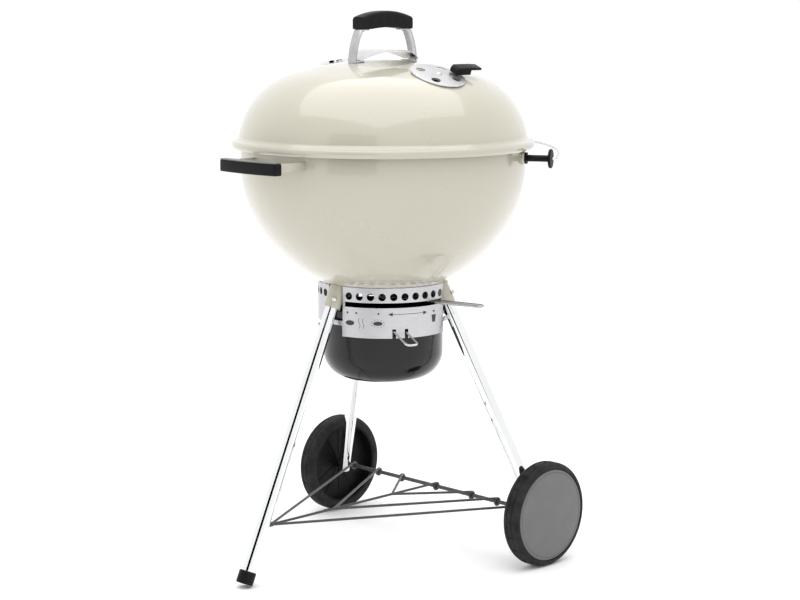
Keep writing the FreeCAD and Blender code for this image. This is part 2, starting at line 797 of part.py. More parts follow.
def make_wheel(word, side):
    shoulder = "tyre_shoulder"
    seat = "(rim_radius + fit_gap)"
    ledge = "(cap_radius + cap_gap)"
    points = [(seat, "tyre_inner_x"), (f"wheel_radius - {shoulder}", "tyre_inner_x")]
    points += [("wheel_radius", f"tyre_inner_x + {shoulder}"), ("wheel_radius", f"tyre_outer_x - {shoulder}")]
    points += [(f"wheel_radius - {shoulder}", "tyre_outer_x"), (ledge, "tyre_outer_x")]
    points += [(ledge, "tyre_outer_x - cap_step"), (seat, "tyre_outer_x - cap_step")]
    arcs = {1: (shoulder, 1), 3: (shoulder, 1)}
    tyre = turned_body("Tyre", points, arcs)
    wheel_place(tyre, side)
    keep(tyre, f"wheel_tyre_{word}")

    rim = new_body("Rim")
    barrel = "(rim_radius - rim_wall)"
    inside = "(tyre_inner_x + rim_set)"
    outside = "(tyre_outer_x - cap_step - 2 * fit_gap)"
    bore = "(axle_radius + fit_gap)"
    web_back = "(web_x + web_thick)"
    hub = "(web_x - rib_high)"
    points = [(bore, hub), ("hub_radius", hub), ("hub_radius", "web_x"), (barrel, "web_x"), (barrel, inside)]
    points += [("rim_radius", inside), ("rim_radius", outside), (barrel, outside), (barrel, web_back)]
    points += [("hub_radius", web_back), ("hub_radius", "hub_end_x"), (bore, "hub_end_x")]
    revolve(rim, points)
    rib = sketch_on(rim, "XZ_Plane")
    outline(rib, ring_points("hub_radius - rib_bite", f"{barrel} + rib_bite", hub, "web_x + rib_bite"))
    ribs = rim.newObject("PartDesign::Pad", "Rib")
    ribs.Profile = rib
    ribs.Midplane = True
    bind(ribs, "Length", "rib_wide")
    repeat_round(rim, ribs, "rib_count")
    wheel_place(rim, side)
    keep(rim, f"wheel_rim_{word}")

    edge = "(tyre_outer_x - cap_step + 3 * fit_gap)"
    crown = "(tyre_outer_x + cap_crown)"
    brim = "tyre_outer_x"
    turn = "(cap_radius - cap_brim)"
    inner_turn = "(cap_radius - cap_brim - cap_inset)"
    inner_wall = "(cap_radius - cap_skin)"
    points = [("0", f"{crown} - cap_skin"), ("0", crown), (turn, brim), ("cap_radius", f"{brim} - cap_drop"),
              ("cap_radius", edge), (inner_wall, edge), (inner_wall, f"{brim} - cap_drop - 0.6 * cap_inset"),
              (inner_turn, f"{brim} - cap_skin")]
    outer = f"({turn}^2 + cap_crown^2) / (2 * cap_crown)"
    inner = f"({inner_turn}^2 + cap_crown^2) / (2 * cap_crown)"
    arcs = {1: (outer, -1), 2: ("cap_roll", -1), 7: (inner, 1)}
    hubcap = turned_body("Hubcap", points, arcs)
    wheel_place(hubcap, side)
    keep(hubcap, f"hubcap_{word}")


def make_axle_nuts():
    nuts = []
    for side in (1, -1):
        start = "(hub_end_x + nut_gap)"
        ring = ring_points("axle_radius + press_gap", "nut_radius", start, f"{start} + nut_thick")
        nut = turned_body("PushNut", ring)
        local(nut, y=AXLE_Y, z="wheel_radius", turn=f"rotation(vector(0;1;0);{90 * side})")
        nuts.append(nut)
    keep_group(nuts, "axle_nuts", placed=False)


# ---------------------------------------------------------------- bottom rack

def make_bottom_rack():
    ring = "(axle_radius + rack_wire + fit_gap)"
    level = f"(wheel_radius + {ring})"
    front = ("0", "rack_front_y", level)
    fork = ("0", "rack_fork_y", level)
    split = ("0", "rack_split_y", level)
    runs = [(front, "0")]
    for side in (1, -1):
        runs += [(front, f"{side} * rack_outer_x"), (fork, f"{side} * rack_fork_x"),
                 (split, f"{side} * rack_split_x")]
    pieces = []
    for start, x in runs:
        pieces.append(level_rod("rack_wire", start, (x, f"({AXLE_Y} + rack_wire / 2)")))
        eye = torus(ring, "rack_wire", name="Hook")
        local(eye, x, AXLE_Y, "wheel_radius", ALONG_X)
        pieces.append(eye)
    lug = cylinder("lug_radius", "lug_long", "Lug")
    local(lug, "0", "rack_front_y + lug_inset", level, OUTWARD)
    pieces.append(lug)
    rack = fuse(pieces)
    place(rack)
    keep(rack, "bottom_rack")


# ---------------------------------------------------------------- ash catcher and sweeper

def make_collar():
    body = new_body("AshCollar")
    inner = "(collar_radius - collar_skin)"
    revolve(body, ring_points(inner, "collar_radius", "collar_low_z", "collar_high_z"))
    panel = ring_points(inner, "collar_radius", "panel_low_z", "collar_low_z + collar_skin")
    revolve(body, panel, angle="panel_angle", turned="panel_azimuth - 90")
    doc.recompute()
    hole = sketch_on(body, "XZ_Plane", "5")
    circle(hole, "0", "hole_z", "hole_radius")
    repeat_round(body, pocket(body, hole, "2 * collar_radius"), "hole_count")
    doc.recompute()
    notch = sketch_on(body, "XZ_Plane")
    half = "notch_width / 2"
    outline(notch, ring_points(f"-1 * {half}", half, "notch_z", "collar_high_z + overcut"))
    repeat_round(body, pocket(body, notch, "2 * collar_radius"), "3")
    doc.recompute()
    ring = ring_points(f"({inner} - overcut)", "(collar_radius + overcut)", "slot_low_z", "slot_high_z")
    groove(body, ring, "slot_angle", "slot_azimuth - 90")
    slits = []
    for side in (1, -1):
        slit = box("slit_width", "2 * overcut", "slit_z - panel_low_z + slit_width", "Slit")
        low = "panel_low_z - bail_z - slit_width"
        corner = f"placement(vector({side} * bail_half - slit_width / 2;-1 * overcut;{low});{UPRIGHT})"
        bind(slit, "Placement", f"{bail_frame('0', '0')} * {corner}")
        slits.append(slit)
    collar = cut(body, slits)
    place(collar)
    keep(collar, "ash_collar")


def make_collar_pins():
    pins = []
    for azimuth in ("pin_azimuth - 180", "pin_azimuth"):
        pin = turned_body("Pin", [("0", "0"), ("pin_radius", "0"), ("pin_radius", "pin_high - pin_round"),
                                  ("pin_radius - pin_round", "pin_high"), ("0", "pin_high")])
        about = f"placement(vector(0;0;0);rotation(vector(0;0;1);{azimuth}))"
        bind(pin, "Placement", f"{about} * placement(vector(0;-1 * collar_radius - fit_gap;pin_z);{OUTWARD})")
        pins.append(pin)
    keep_group(pins, "collar_pins", placed=False)


def bail_frame(axis, tilt):
    """Placement where the bail's middle line crosses the collar, swung aside and tilted down outward."""
    about = f"placement(vector(0;{axis};0);rotation(vector(0;0;1);bail_azimuth))"
    swing = "rotation(vector(0;0;1);bail_swing)"
    return f"{about} * placement(vector(0;-1 * collar_radius;bail_z);{swing} * rotation(vector(1;0;0);{tilt}))"


def make_bucket():
    body = new_body("AshBucket")
    flat = "(bucket_radius - bucket_arc)"
    skin = "bucket_skin"
    points = [("0", "bucket_low_z"), (flat, "bucket_low_z"), ("bucket_radius", "bucket_low_z + bucket_arc")]
    points += [("bucket_radius", "bucket_high_z"), (f"bucket_radius - {skin}", "bucket_high_z")]
    points += [(f"bucket_radius - {skin}", "bucket_low_z + bucket_arc"), (flat, f"bucket_low_z + {skin}")]
    points += [("0", f"bucket_low_z + {skin}")]
    arcs = {1: ("bucket_arc", 1), 5: (f"bucket_arc - {skin}", -1)}
    revolve(body, points, arcs)
    drills = []
    for side in (1, -1):
        drill = cylinder("bail_wire + 2 * free_gap", "overcut", "BailHole")
        corner = f"placement(vector({side} * bail_half;0.75 * overcut;0);{OUTWARD})"
        bind(drill, "Placement", f"{bail_frame('0', 'bail_tilt')} * {corner}")
        drills.append(drill)
    bucket = cut(body, drills)
    place(bucket)
    keep(bucket, "ash_bucket")


def make_bail():
    """The squeeze wire of the bucket: out through the wall and the collar's slits to a rounded loop."""
    corner = "bail_corner"
    points = [("-1 * bail_half", "bail_inside"), ("-1 * bail_half", f"-1 * bail_reach + {corner}"),
              (f"-1 * bail_half + {corner}", "-1 * bail_reach"), (f"bail_half - {corner}", "-1 * bail_reach"),
              ("bail_half", f"-1 * bail_reach + {corner}"), ("bail_half", "bail_inside")]
    bail = bent_wire("Bail", points, {1: (corner, 1), 3: (corner, 1)}, "bail_wire")
    bind(bail, "Placement", bail_frame("axis_y", "bail_tilt"))
    keep(bail, "bucket_bail")


def make_sweeper():
    low = "(steel + sweep_gap + steel)"
    high = "(steel + sweep_gap)"
    hub_top = BOWL.cap("0", low)[1]
    bore = "(shaft_radius + press_gap)"
    points = [BOWL.cap(bore, high), BOWL.cap("sweep_hub", high), BOWL.cap("sweep_hub", low), BOWL.cap(bore, low)]
    arcs = {0: (f"bowl_floor_arc - {high}", 1), 2: (f"bowl_floor_arc - {low}", -1)}
    hub = turned_body("SweeperHub", points, arcs)
    place(hub)
    keep(hub, "sweeper_hub")

    for number in range(3):
        blade = new_body("Blade")
        root = "(sweep_hub + fit_gap)"
        points = [BOWL.cap(root, high), BOWL.cap("blade_reach", high), BOWL.cap("blade_reach", low),
                  BOWL.cap(root, low)]
        revolve(blade, points, arcs, "blade_angle")
        place(blade, azimuth=f"{120 * number}")
        keep(blade, f"sweeper_blade_{number + 1}")

    shaft = cylinder("shaft_radius", f"{hub_top} + shaft_top - shaft_low_z", "Shaft")
    place(shaft, z="shaft_low_z")
    keep(shaft, "sweeper_shaft")

    start = "-1 * clamp_radius + clamp_bite"
    tip = "-1 * (lever_reach - lever_half)"
    points = [("-1 * lever_half", start), ("-1 * lever_half", tip), ("0", f"{tip} - lever_half"),
              ("lever_half", tip), ("lever_half", start)]
    wire = bent_wire("LeverWire", points, {1: ("lever_half", 1), 2: ("lever_half", 1)}, "lever_wire")
    local(wire)
    clamp = turned_body("Clamp", ring_points(bore, "clamp_radius", "-1 * clamp_half", "clamp_half"))
    local(clamp)
    lever = fuse([wire, clamp])
    place(lever, z="lever_z", azimuth="lever_azimuth")
    keep(lever, "sweeper_lever")


# ---------------------------------------------------------------- grates

def chord(ring, x):
    """Half the length of a chord of a ring at a distance from its centre."""
    return f"sqrt({ring}^2 - ({x})^2)"


def bar_along_y(wire, ring, x, level):
    """A bar of a round grate, ending in the middle of its ring."""
    half = chord(ring, x)
    return level_rod(wire, (x, f"-1 * {half}", level), (x, half, level))


def make_charcoal_grate():
    level = "(fire_tab_z + tab_thick / 2 + fire_wire + rest_gap)"
    ring = torus("fire_ring", "fire_wire")
    local(ring, z=level)
    pieces = [ring]
    for step in range(-6, 7):
        pieces.append(bar_along_y("fire_wire", "fire_ring", f"{step} * fire_pitch", level))
    for side in (1, -1):
        half = chord("fire_ring", "fire_cross_y")
        y = f"{side} * fire_cross_y"
        pieces.append(level_rod("fire_wire", (f"-1 * {half}", y, level), (half, y, level)))
    grate = fuse(pieces)
    place(grate)
    keep(grate, "charcoal_grate")


COOK_LEVEL = "(cook_tab_z + tab_thick / 2 + cook_wire + rest_gap)"


def make_cooking_grate():
    ring = torus("cook_ring", "cook_wire")
    local(ring, z=COOK_LEVEL)
    pieces = [ring]
    for step in range(-8, 9):
        pieces.append(bar_along_y("cook_bar", "cook_ring", f"{step} * cook_pitch", COOK_LEVEL))
    for side in (1, -1):
        pieces.append(bar_along_y("hinge_bar", "cook_ring", f"{side} * hinge_x", COOK_LEVEL))
        y = f"{side} * cook_cross_y"
        under = f"({COOK_LEVEL} - cook_bar)"
        pieces.append(level_rod("cook_bar", ("-1 * hinge_x", y, under), ("hinge_x", y, under)))
        loop = torus("lift_loop", "cook_wire", "180", "LiftLoop")
        local(loop, y=f"{side} * {chord('cook_ring', 'lift_loop')}", z=COOK_LEVEL, turn=OUTWARD)
        pieces.append(loop)
    grate = fuse(pieces)
    place(grate)
    keep(grate, "cooking_grate")


def make_flap(word, side):
    """A hinged side of the cooking grate: bars on two arms whose eyes turn on the grate's hinge bar."""
    spread = f"(2 * atan({chord('flap_ring', 'flap_chord_x')} / flap_chord_x))"
    rim = torus("flap_ring", "flap_wire", spread, "FlapRim")
    start = f"{0 if side > 0 else 180} * 1deg - {spread} / 2"
    local(rim, z=COOK_LEVEL, turn=f"rotation(vector(0;0;1);{start})")
    pieces = [rim, bar_along_y("flap_wire", "flap_ring", f"{side} * flap_chord_x", COOK_LEVEL)]
    for step in range(1, 8):
        x = f"{side} * (flap_chord_x + {step} * cook_pitch)"
        pieces.append(bar_along_y("cook_bar", "flap_ring", x, COOK_LEVEL))
    for end in (1, -1):
        y = f"{end} * flap_arm_y"
        eye_ring = "(hinge_bar + free_gap + cook_bar)"
        eye = torus(eye_ring, "cook_bar", name="Eye")
        local(eye, f"{side} * hinge_x", y, COOK_LEVEL, "rotation(vector(1;0;0);90)")
        inner = (f"{side} * (hinge_x + {eye_ring})", y, COOK_LEVEL)
        outer = (f"{side} * {chord('flap_ring', 'flap_arm_y')}", y, COOK_LEVEL)
        pieces += [eye, level_rod("cook_bar", inner, outer)]
    flap = fuse(pieces)
    place(flap)
    keep(flap, f"grate_flap_{word}")


# ---------------------------------------------------------------- front handle

def make_front_handle():
    grip = new_body("HandleGrip")
    face = "(grip_face_y + grip_bow)"
    bow_radius = "((grip_half^2 + grip_bow^2) / (2 * grip_bow))"
    points = [("-1 * grip_half", "grip_back_y"), ("-1 * grip_half", face), ("grip_half", face),
              ("grip_half", "grip_back_y")]
    pad(grip, "XY_Plane", points, "grip_high_z - grip_low_z", {1: (bow_radius, 1)}, middle=False)
    place(grip, z="grip_low_z")
    keep(grip, "handle_grip")

    tray = new_body("HandleTray")
    inset = "tray_inset"
    points = [(f"-1 * grip_half + {inset}", f"grip_back_y - {inset}"), (f"-1 * grip_half + {inset}", face),
              (f"grip_half - {inset}", face), (f"grip_half - {inset}", f"grip_back_y - {inset}")]
    pad(tray, "XY_Plane", points, "tray_thick", {1: (bow_radius, 1)}, middle=False)
    place(tray, z="grip_high_z + press_gap")
    keep(tray, "handle_tray")

    for word, side in (("right", 1), ("left", -1)):
        strip = new_body("HandleStrip")
        outer = f"{side} * (strip_x + strip_thick)"
        inner = f"{side} * strip_x"
        tab = f"{side} * (strip_x - strip_tab)"
        back = "(grip_back_y + fit_gap)"
        points = [(inner, f"{back} + strip_thick"), (tab, f"{back} + strip_thick"), (tab, back), (outer, back),
                  (outer, "strip_end_y"), (inner, "strip_end_y")]
        pad(strip, "XY_Plane", points, "strip_high_z - strip_low_z", middle=False)
        local(strip, z="strip_low_z")
        welded = cut(strip, [bowl_envelope()])
        place(welded)
        keep(welded, f"handle_strip_{word}")


def make_handle_screws():
    screws = []
    for side in (1, -1):
        screw = screw_head("handle_screw", "handle_screw_high")
        middle = "(strip_low_z + strip_high_z) / 2"
        seat = "grip_back_y + 2 * fit_gap + strip_thick"
        local(screw, f"{side} * (strip_x - strip_tab / 2)", seat, middle, "rotation(vector(1;0;0);-90)")
        screws.append(screw)
    keep_group(screws, "handle_screws", placed=False)


# ---------------------------------------------------------------- lid holder

def post_place(thing, azimuth):
    """Stand a piece on a post: its Z axis points outward from the kettle axis at the post's height."""
    place(thing, z="post_z", turn=OUTWARD, azimuth=azimuth)


def make_post(word, azimuth):
    base = "(boss_radius + boss_flare)"
    tip = "(disc_end - disc_round - 3 * fit_gap)"
    boss = turned_body("BossBlank", [("0", "post_root"), (base, "post_root"), (base, "boss_end - boss_flare"),
                                     ("boss_radius", "boss_end"), ("post_pin", "boss_end"),
                                     ("post_pin", tip), ("0", tip)])
    about = f"placement(vector(0;0;0);rotation(vector(0;0;1);{azimuth}))"
    bind(boss, "Placement", f"{about} * placement(vector(0;0;post_z);{OUTWARD})")
    welded = cut(boss, [bowl_envelope()])
    place(welded)
    keep(welded, f"holder_post_{word}")

    roller = turned_body("Roller", ring_points("post_pin + fit_gap", "roller_radius", "flange_end + free_gap",
                                               "roller_end"))
    post_place(roller, azimuth)
    keep(roller, f"holder_roller_{word}")

    bore = "(post_pin + fit_gap)"
    shoulder = "(disc_radius - disc_round)"
    disc = turned_body("Disc", [(bore, "disc_start"), (shoulder, "disc_start"),
                                ("disc_radius", "disc_start + disc_round"),
                                ("disc_radius", "disc_end - disc_round"), (shoulder, "disc_end"),
                                ("0", "disc_end"), ("0", "disc_end - disc_round"),
                                (bore, "disc_end - disc_round")])
    post_place(disc, azimuth)
    keep(disc, f"holder_disc_{word}")


def make_flanges():
    flanges = []
    for azimuth in ("post_azimuth", "-1 * post_azimuth"):
        ring = ring_points("post_pin + fit_gap", "flange_radius", "boss_end + fit_gap", "flange_end")
        flange = turned_body("Flange", ring)
        post_place(flange, azimuth)
        flanges.append(flange)
    keep_group(flanges, "holder_flanges")


def make_hoop():
    pivot = "(-1 * disc_end * cos(post_azimuth))"
    slip = "asin(hoop_bend / (hoop_radius - hoop_bend))"
    foot = f"((hoop_radius - hoop_bend) * cos({slip}))"
    start = "(disc_end + 3 * fit_gap)"

    def at(radius, angle, side):
        return f"{side} * {radius} * sin({angle})", f"-1 * {radius} * cos({angle}) - {pivot}"

    turn_in = f"post_azimuth * 1deg + {slip}"
    points = [at(start, "post_azimuth", 1), at(foot, "post_azimuth", 1), at("hoop_radius", turn_in, 1),
              at("hoop_radius", turn_in, -1), at(foot, "post_azimuth", -1), at(start, "post_azimuth", -1)]
    arcs = {1: ("hoop_bend", 1), 2: ("hoop_radius", 1), 3: ("hoop_bend", 1)}
    hoop = bent_wire("Hoop", points, arcs, "hoop_wire")
    place(hoop, y=pivot, z="post_z", turn="rotation(vector(1;0;0);hoop_tilt)")
    keep(hoop, "holder_hoop")


# ---------------------------------------------------------------- lid handle

def make_lid_handle():
    struts = (("front", -1), ("rear", 1))
    for word, side in struts:
        strut = new_body("Strut")
        top = "(lid_grip_heel - fit_gap)"
        low = f"({LID.cap('strut_low_y')[1]} + strut_thick)"
        foot = f"({LID.cap('strut_foot_y')[1]} + strut_thick)"
        y_top = f"{side} * strut_top_y"
        y_low = f"{side} * strut_low_y"
        y_knee = f"{side} * (strut_low_y - strut_thick)"
        points = [(f"{side} * strut_lug_y", top), (y_top, top), (y_low, f"{low} - strut_sink"),
                  (f"{side} * strut_foot_y", f"{foot} - strut_sink"), (f"{side} * strut_foot_y", foot),
                  (y_knee, low), (f"{side} * (strut_top_y - strut_thick)", f"{top} - strut_thick"),
                  (f"{side} * strut_lug_y", f"{top} - strut_thick")]
        outer = ("strut_bow", -1 * side)
        inner = ("strut_bow - strut_thick", side)
        pad(strut, "YZ_Plane", points, "strut_wide", {1: outer, 5: inner})
        trimmed = cut(strut, [lid_envelope()])
        place(trimmed)
        keep(trimmed, f"lid_strut_{word}")

    grip = new_body("LidGrip")
    half = "lid_grip_half"
    under_rise = "(lid_grip_under - lid_grip_heel)"
    top_rise = "(lid_grip_top - lid_grip_shoulder)"
    flat = "(strut_lug_y - 2)"
    points = [(f"-1 * {half}", "lid_grip_heel"), (f"-1 * {flat}", "lid_grip_heel"), (flat, "lid_grip_heel"),
              (half, "lid_grip_heel"), (half, "lid_grip_shoulder"), (f"-1 * {half}", "lid_grip_shoulder")]
    arcs = {1: (f"({flat}^2 + {under_rise}^2) / (2 * {under_rise})", -1),
            4: (f"({half}^2 + {top_rise}^2) / (2 * {top_rise})", 1)}
    raised = pad(grip, "YZ_Plane", points, "lid_grip_wide", arcs)
    doc.recompute()
    rounded = grip.newObject("PartDesign::Fillet", "Fillet")
    ends = []
    for number, edge in enumerate(raised.Shape.Edges, start=1):
        box_size = edge.BoundBox
        if box_size.XLength < 1 and box_size.ZMin > value("lid_grip_heel + 1"):
            ends.append(f"Edge{number}")
    rounded.Base = (raised, ends)
    bind(rounded, "Radius", "lid_grip_round")
    place(grip)
    keep(grip, "lid_grip")

    screws = []
    for word, side in struts:
        screw = screw_head("grip_screw", "grip_screw_high")
        seat = "lid_grip_heel - 2 * fit_gap - strut_thick"
        local(screw, "0", f"{side} * (strut_lug_y + grip_screw_in)", seat, "rotation(vector(1;0;0);180)")
        screws.append(screw)
    keep_group(screws, "lid_grip_screws", placed=False)


def make_heat_shield():
    """An arched leaf of sheet steel between the struts, widest under the middle of the grip."""
    arch = new_body("ShieldArch")
    half = "shield_half_y"
    low = "(shield_z + shield_skin)"
    points = [(f"-1 * {half}", "shield_z"), (half, "shield_z"), (half, low), (f"-1 * {half}", low)]
    bend = f"(({half}^2 + shield_rise^2) / (2 * shield_rise))"
    pad(arch, "YZ_Plane", points, "2 * shield_half_x", {0: (bend, -1), 2: (bend, 1)})
    leaf = new_body("ShieldLeaf")
    swell = "(shield_half_x - shield_end)"
    edge = f"(({half}^2 + {swell}^2) / (2 * {swell}))"
    points = [("shield_end", f"-1 * {half}"), ("shield_end", half), ("-1 * shield_end", half),
              ("-1 * shield_end", f"-1 * {half}")]
    pad(leaf, "XY_Plane", points, "2 * shield_z + 100", {0: (edge, 1), 2: (edge, 1)}, middle=False)
    shield = doc.addObject("Part::Common", "Shield")
    shield.Base = arch
    shield.Tool = leaf
    place(shield)
    keep(shield, "heat_shield")


# ---------------------------------------------------------------- lid damper

def make_damper():
    disc = new_body("Damper")
    hole = "(rivet_radius - 1)"
    rise = "(damper_crown - sqrt(damper_crown^2 - damper_radius^2))"
    inner = f"sqrt(damper_crown^2 - {hole}^2) - damper_crown"
    points = [(hole, inner), ("damper_radius", f"-1 * {rise}"), ("damper_radius", f"-1 * {rise} + damper_skin"),
              (hole, f"{inner} + damper_skin")]
    arcs = {0: ("damper_crown", -1), 2: ("damper_crown", 1)}
    revolve(disc, points, arcs)
    doc.recompute()
    port = sketch_on(disc, "XY_Plane")
    spot = "damper_pitch * cos(45)"
    circle(port, spot, spot, "damper_hole")
    repeat_round(disc, pocket(disc, port, "overcut", middle=True), "4")
    place_on(disc, damper_frame(), "damper_azimuth")
    keep(disc, "lid_damper")

    tab = new_body("DamperTab")
    tip = "(damper_radius + tab_past)"
    start = f"({tip} - tab_long)"
    heel = f"({tip} - tab_plate)"
    lift = "(damper_skin + fit_gap)"
    top = f"({lift} + tab_high)"
    points = [(start, lift), (heel, lift), (heel, f"{top} - tab_leaf"), (tip, f"{top} - tab_leaf"),
              (tip, f"{top} - tab_leaf / 5"), (f"{heel} + tab_leaf", top), (f"{start} + tab_leaf", top),
              (start, f"{top} - tab_leaf")]
    pad(tab, "XZ_Plane", points, "tab_broad")
    place_on(tab, damper_frame(), "damper_azimuth")
    keep(tab, "damper_tab")

    brim = "(rivet_radius + rivet_brim)"
    seat = "(damper_skin + fit_gap)"
    shank = "(rivet_radius - 1 - fit_gap)"
    tail = "-1 * rivet_long"
    points = [("0", tail), (shank, tail), (shank, seat), (brim, seat), ("0", f"{seat} + rivet_crown")]
    rivet = turned_body("Rivet", points, {3: (f"({brim}^2 + rivet_crown^2) / (2 * rivet_crown)", 1)})
    place_on(rivet, damper_frame(), "damper_azimuth")
    keep(rivet, "damper_rivet")


# ---------------------------------------------------------------- thermometer

def make_thermometer():
    base = "gauge_seat"
    top = f"({base} + gauge_high)"
    shoulder = "(gauge_radius - gauge_round)"
    well = "(gauge_radius - gauge_rim)"
    floor = f"({base} + gauge_floor)"
    points = [("0", base), (shoulder, base), ("gauge_radius", f"{base} + gauge_round"),
              ("gauge_radius", f"{top} - gauge_round"), (shoulder, top), (well, top), (well, floor), ("0", floor)]
    bezel = turned_body("Bezel", points, {3: ("gauge_round", 1)})
    place_on(bezel, gauge_frame(), "gauge_azimuth")
    keep(bezel, "thermometer_bezel")

    inside = f"({well} - 2 * fit_gap)"
    low = f"({floor} + fit_gap)"
    dial = turned_body("Dial", ring_points("needle_pin + 3 * fit_gap", inside, low, f"{low} + dial_thick"))
    place_on(dial, gauge_frame(), "gauge_azimuth")
    keep(dial, "thermometer_dial")

    needle = new_body("Needle")
    points = [("-1 * needle_foot", "-1 * needle_tail"), ("needle_foot", "-1 * needle_tail"),
              ("needle_tip", "needle_long"), ("-1 * needle_tip", "needle_long")]
    pad(needle, "XY_Plane", points, "needle_thick", middle=False)
    round_end = sketch_on(needle, "XY_Plane")
    circle(round_end, "0", "0", "needle_pin")
    pin = needle.newObject("PartDesign::Pad", "Pin")
    pin.Profile = round_end
    bind(pin, "Length", "2.5 * needle_thick")
    place_on(needle, gauge_frame(), "gauge_azimuth", z=f"{base} + needle_lift")
    keep(needle, "thermometer_needle")

    glass = cylinder(inside, "glass_thick", "Glass")
    place_on(glass, gauge_frame(), "gauge_azimuth", z=f"{top} - glass_sink")
    keep(glass, "thermometer_glass")

    stem = turned_body("Stem", ring_points("0", "stem_radius", "-1 * stem_long", f"{base} - fit_gap"))
    place_on(stem, gauge_frame(), "gauge_azimuth")
    keep(stem, "thermometer_stem")


# ---------------------------------------------------------------- the grill

def build_grill():
    make_leg("front_leg", "0", "front_reach", f"{SOLE} + foot_floor + fit_gap", bored=False)
    make_leg("rear_leg_right", "rear_azimuth", "rear_reach", "rear_leg_low", bored=True)
    make_leg("rear_leg_left", "-1 * rear_azimuth", "rear_reach", "rear_leg_low", bored=True)
    make_foot_cap()
    make_leg_plugs()
    make_socket("leg_socket_front", "0", "front_reach")
    make_socket("leg_socket_right", "rear_azimuth", "rear_reach")
    make_socket("leg_socket_left", "-1 * rear_azimuth", "rear_reach")
    make_socket_screws()
    make_axle()
    make_axle_nuts()
    make_wheel("right", 1)
    make_wheel("left", -1)
    make_bottom_rack()
    make_bowl()
    make_collar()
    make_collar_pins()
    make_bucket()
    make_bail()
    make_sweeper()
    make_charcoal_grate()
    make_cooking_grate()
    make_flap("right", 1)
    make_flap("left", -1)
    make_front_handle()
    make_handle_screws()
    make_post("right", "post_azimuth")
    make_post("left", "-1 * post_azimuth")
    make_flanges()
    make_hoop()
    make_lid_shell()
    make_lid_handle()
    make_heat_shield()
    make_damper()
    make_thermometer()


def export_nodes():
    """Check every object and write each node's shape to its own file."""
    doc.recompute()
    for thing in doc.Objects:
        if "Invalid" in thing.State or "Error" in thing.State:
            raise RuntimeError(f"{thing.Name} failed: {thing.State}")
    os.makedirs("parts", exist_ok=True)
    for node in nodes:
        if node.Shape.isNull() or not node.Shape.isValid():
            raise RuntimeError(f"{node.Label} has no valid shape")
        node.Shape.exportStep(f"parts/{node.Label}.step")


build_grill()
export_nodes()
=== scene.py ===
import json
import math

import bpy
import numpy as np
from bpy.props import FloatProperty, FloatVectorProperty, IntProperty, PointerProperty
from mathutils import Matrix, Vector

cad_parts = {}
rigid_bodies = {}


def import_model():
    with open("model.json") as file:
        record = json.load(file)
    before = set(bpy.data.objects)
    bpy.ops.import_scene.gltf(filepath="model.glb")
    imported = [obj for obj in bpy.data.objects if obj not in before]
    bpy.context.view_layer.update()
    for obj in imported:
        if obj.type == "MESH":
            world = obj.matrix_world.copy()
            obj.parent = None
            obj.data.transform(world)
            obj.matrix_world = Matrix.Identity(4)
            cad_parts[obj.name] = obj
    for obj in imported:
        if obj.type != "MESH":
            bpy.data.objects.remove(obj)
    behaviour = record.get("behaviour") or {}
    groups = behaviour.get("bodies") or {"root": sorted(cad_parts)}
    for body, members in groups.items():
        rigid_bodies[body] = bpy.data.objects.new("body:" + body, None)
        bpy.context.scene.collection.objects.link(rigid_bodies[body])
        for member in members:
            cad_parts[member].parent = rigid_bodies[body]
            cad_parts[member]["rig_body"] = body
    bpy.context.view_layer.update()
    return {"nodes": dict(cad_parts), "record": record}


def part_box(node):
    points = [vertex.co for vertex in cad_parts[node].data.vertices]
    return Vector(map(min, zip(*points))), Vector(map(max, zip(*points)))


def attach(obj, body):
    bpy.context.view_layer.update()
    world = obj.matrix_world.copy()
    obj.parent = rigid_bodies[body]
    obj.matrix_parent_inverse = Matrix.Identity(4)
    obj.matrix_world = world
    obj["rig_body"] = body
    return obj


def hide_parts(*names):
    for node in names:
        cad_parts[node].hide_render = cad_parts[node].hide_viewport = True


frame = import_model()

bl_info = {
    "name": "Kettle Charcoal Grill",
    "version": (1, 0, 0),
    "blender": (4, 5, 0),
    "location": "View3D > Sidebar > Kettle Grill",
    "description": "Finishes and detailed pieces for a kettle charcoal grill on its tripod",
    "category": "Object",
}

UP = Vector((0, 0, 1))
BOWL_LOW, BOWL_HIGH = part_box("bowl")
AXIS = Vector(((BOWL_LOW.x + BOWL_HIGH.x) / 2, (BOWL_LOW.y + BOWL_HIGH.y) / 2, 0))
COLLAR_LOW, COLLAR_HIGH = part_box("ash_collar")
COLLAR_RADIUS = COLLAR_HIGH.x
FINISH_OF_SLOT = {
    "enamel_ivory": "ivory_enamel",
    "enamel_black": "black_enamel",
    "chrome_tube": "chrome",
    "brushed_aluminium": "brushed_round",
    "plated_steel": "satin_steel",
    "dark_wire": "dark_wire",
    "black_plastic": "black_nylon",
    "grey_plastic": "grey_plastic",
    "tyre_rubber": "tyre_rubber",
    "dial_face": "dial_paint",
    "needle_red": "needle_paint",
    "clear_glass": "gauge_glass",
}
FINISH_OF_NODE = {
    "lid_damper": "brushed_disc",
    "damper_rivet": "brushed_disc",
    "bucket_bail": "bright_wire",
    "holder_hoop": "bright_wire",
    "heat_shield": "bright_wire",
}
# The damper's disc leans down with the dome, and faces this far round from the right.
DAMPER_TURN = (0.0, math.radians(21.0), math.radians(-7.0))
# Sizes that the wheels share with the frame: the tyre's rounded shoulder, the step that the
# hubcap sits in and the gap round it, and how far the hubcap's middle stands out.
TYRE_SHOULDER = 0.011
CAP_STEP = 0.0036
CAP_GAP = 0.0008
CAP_CROWN = 0.0024
# Tread: where a groove runs in from a tyre's side, its width, and the land before the notches.
GROOVE_AT = 0.0118
GROOVE_WIDE = 0.0026
GROOVE_SLOPE = 0.0007
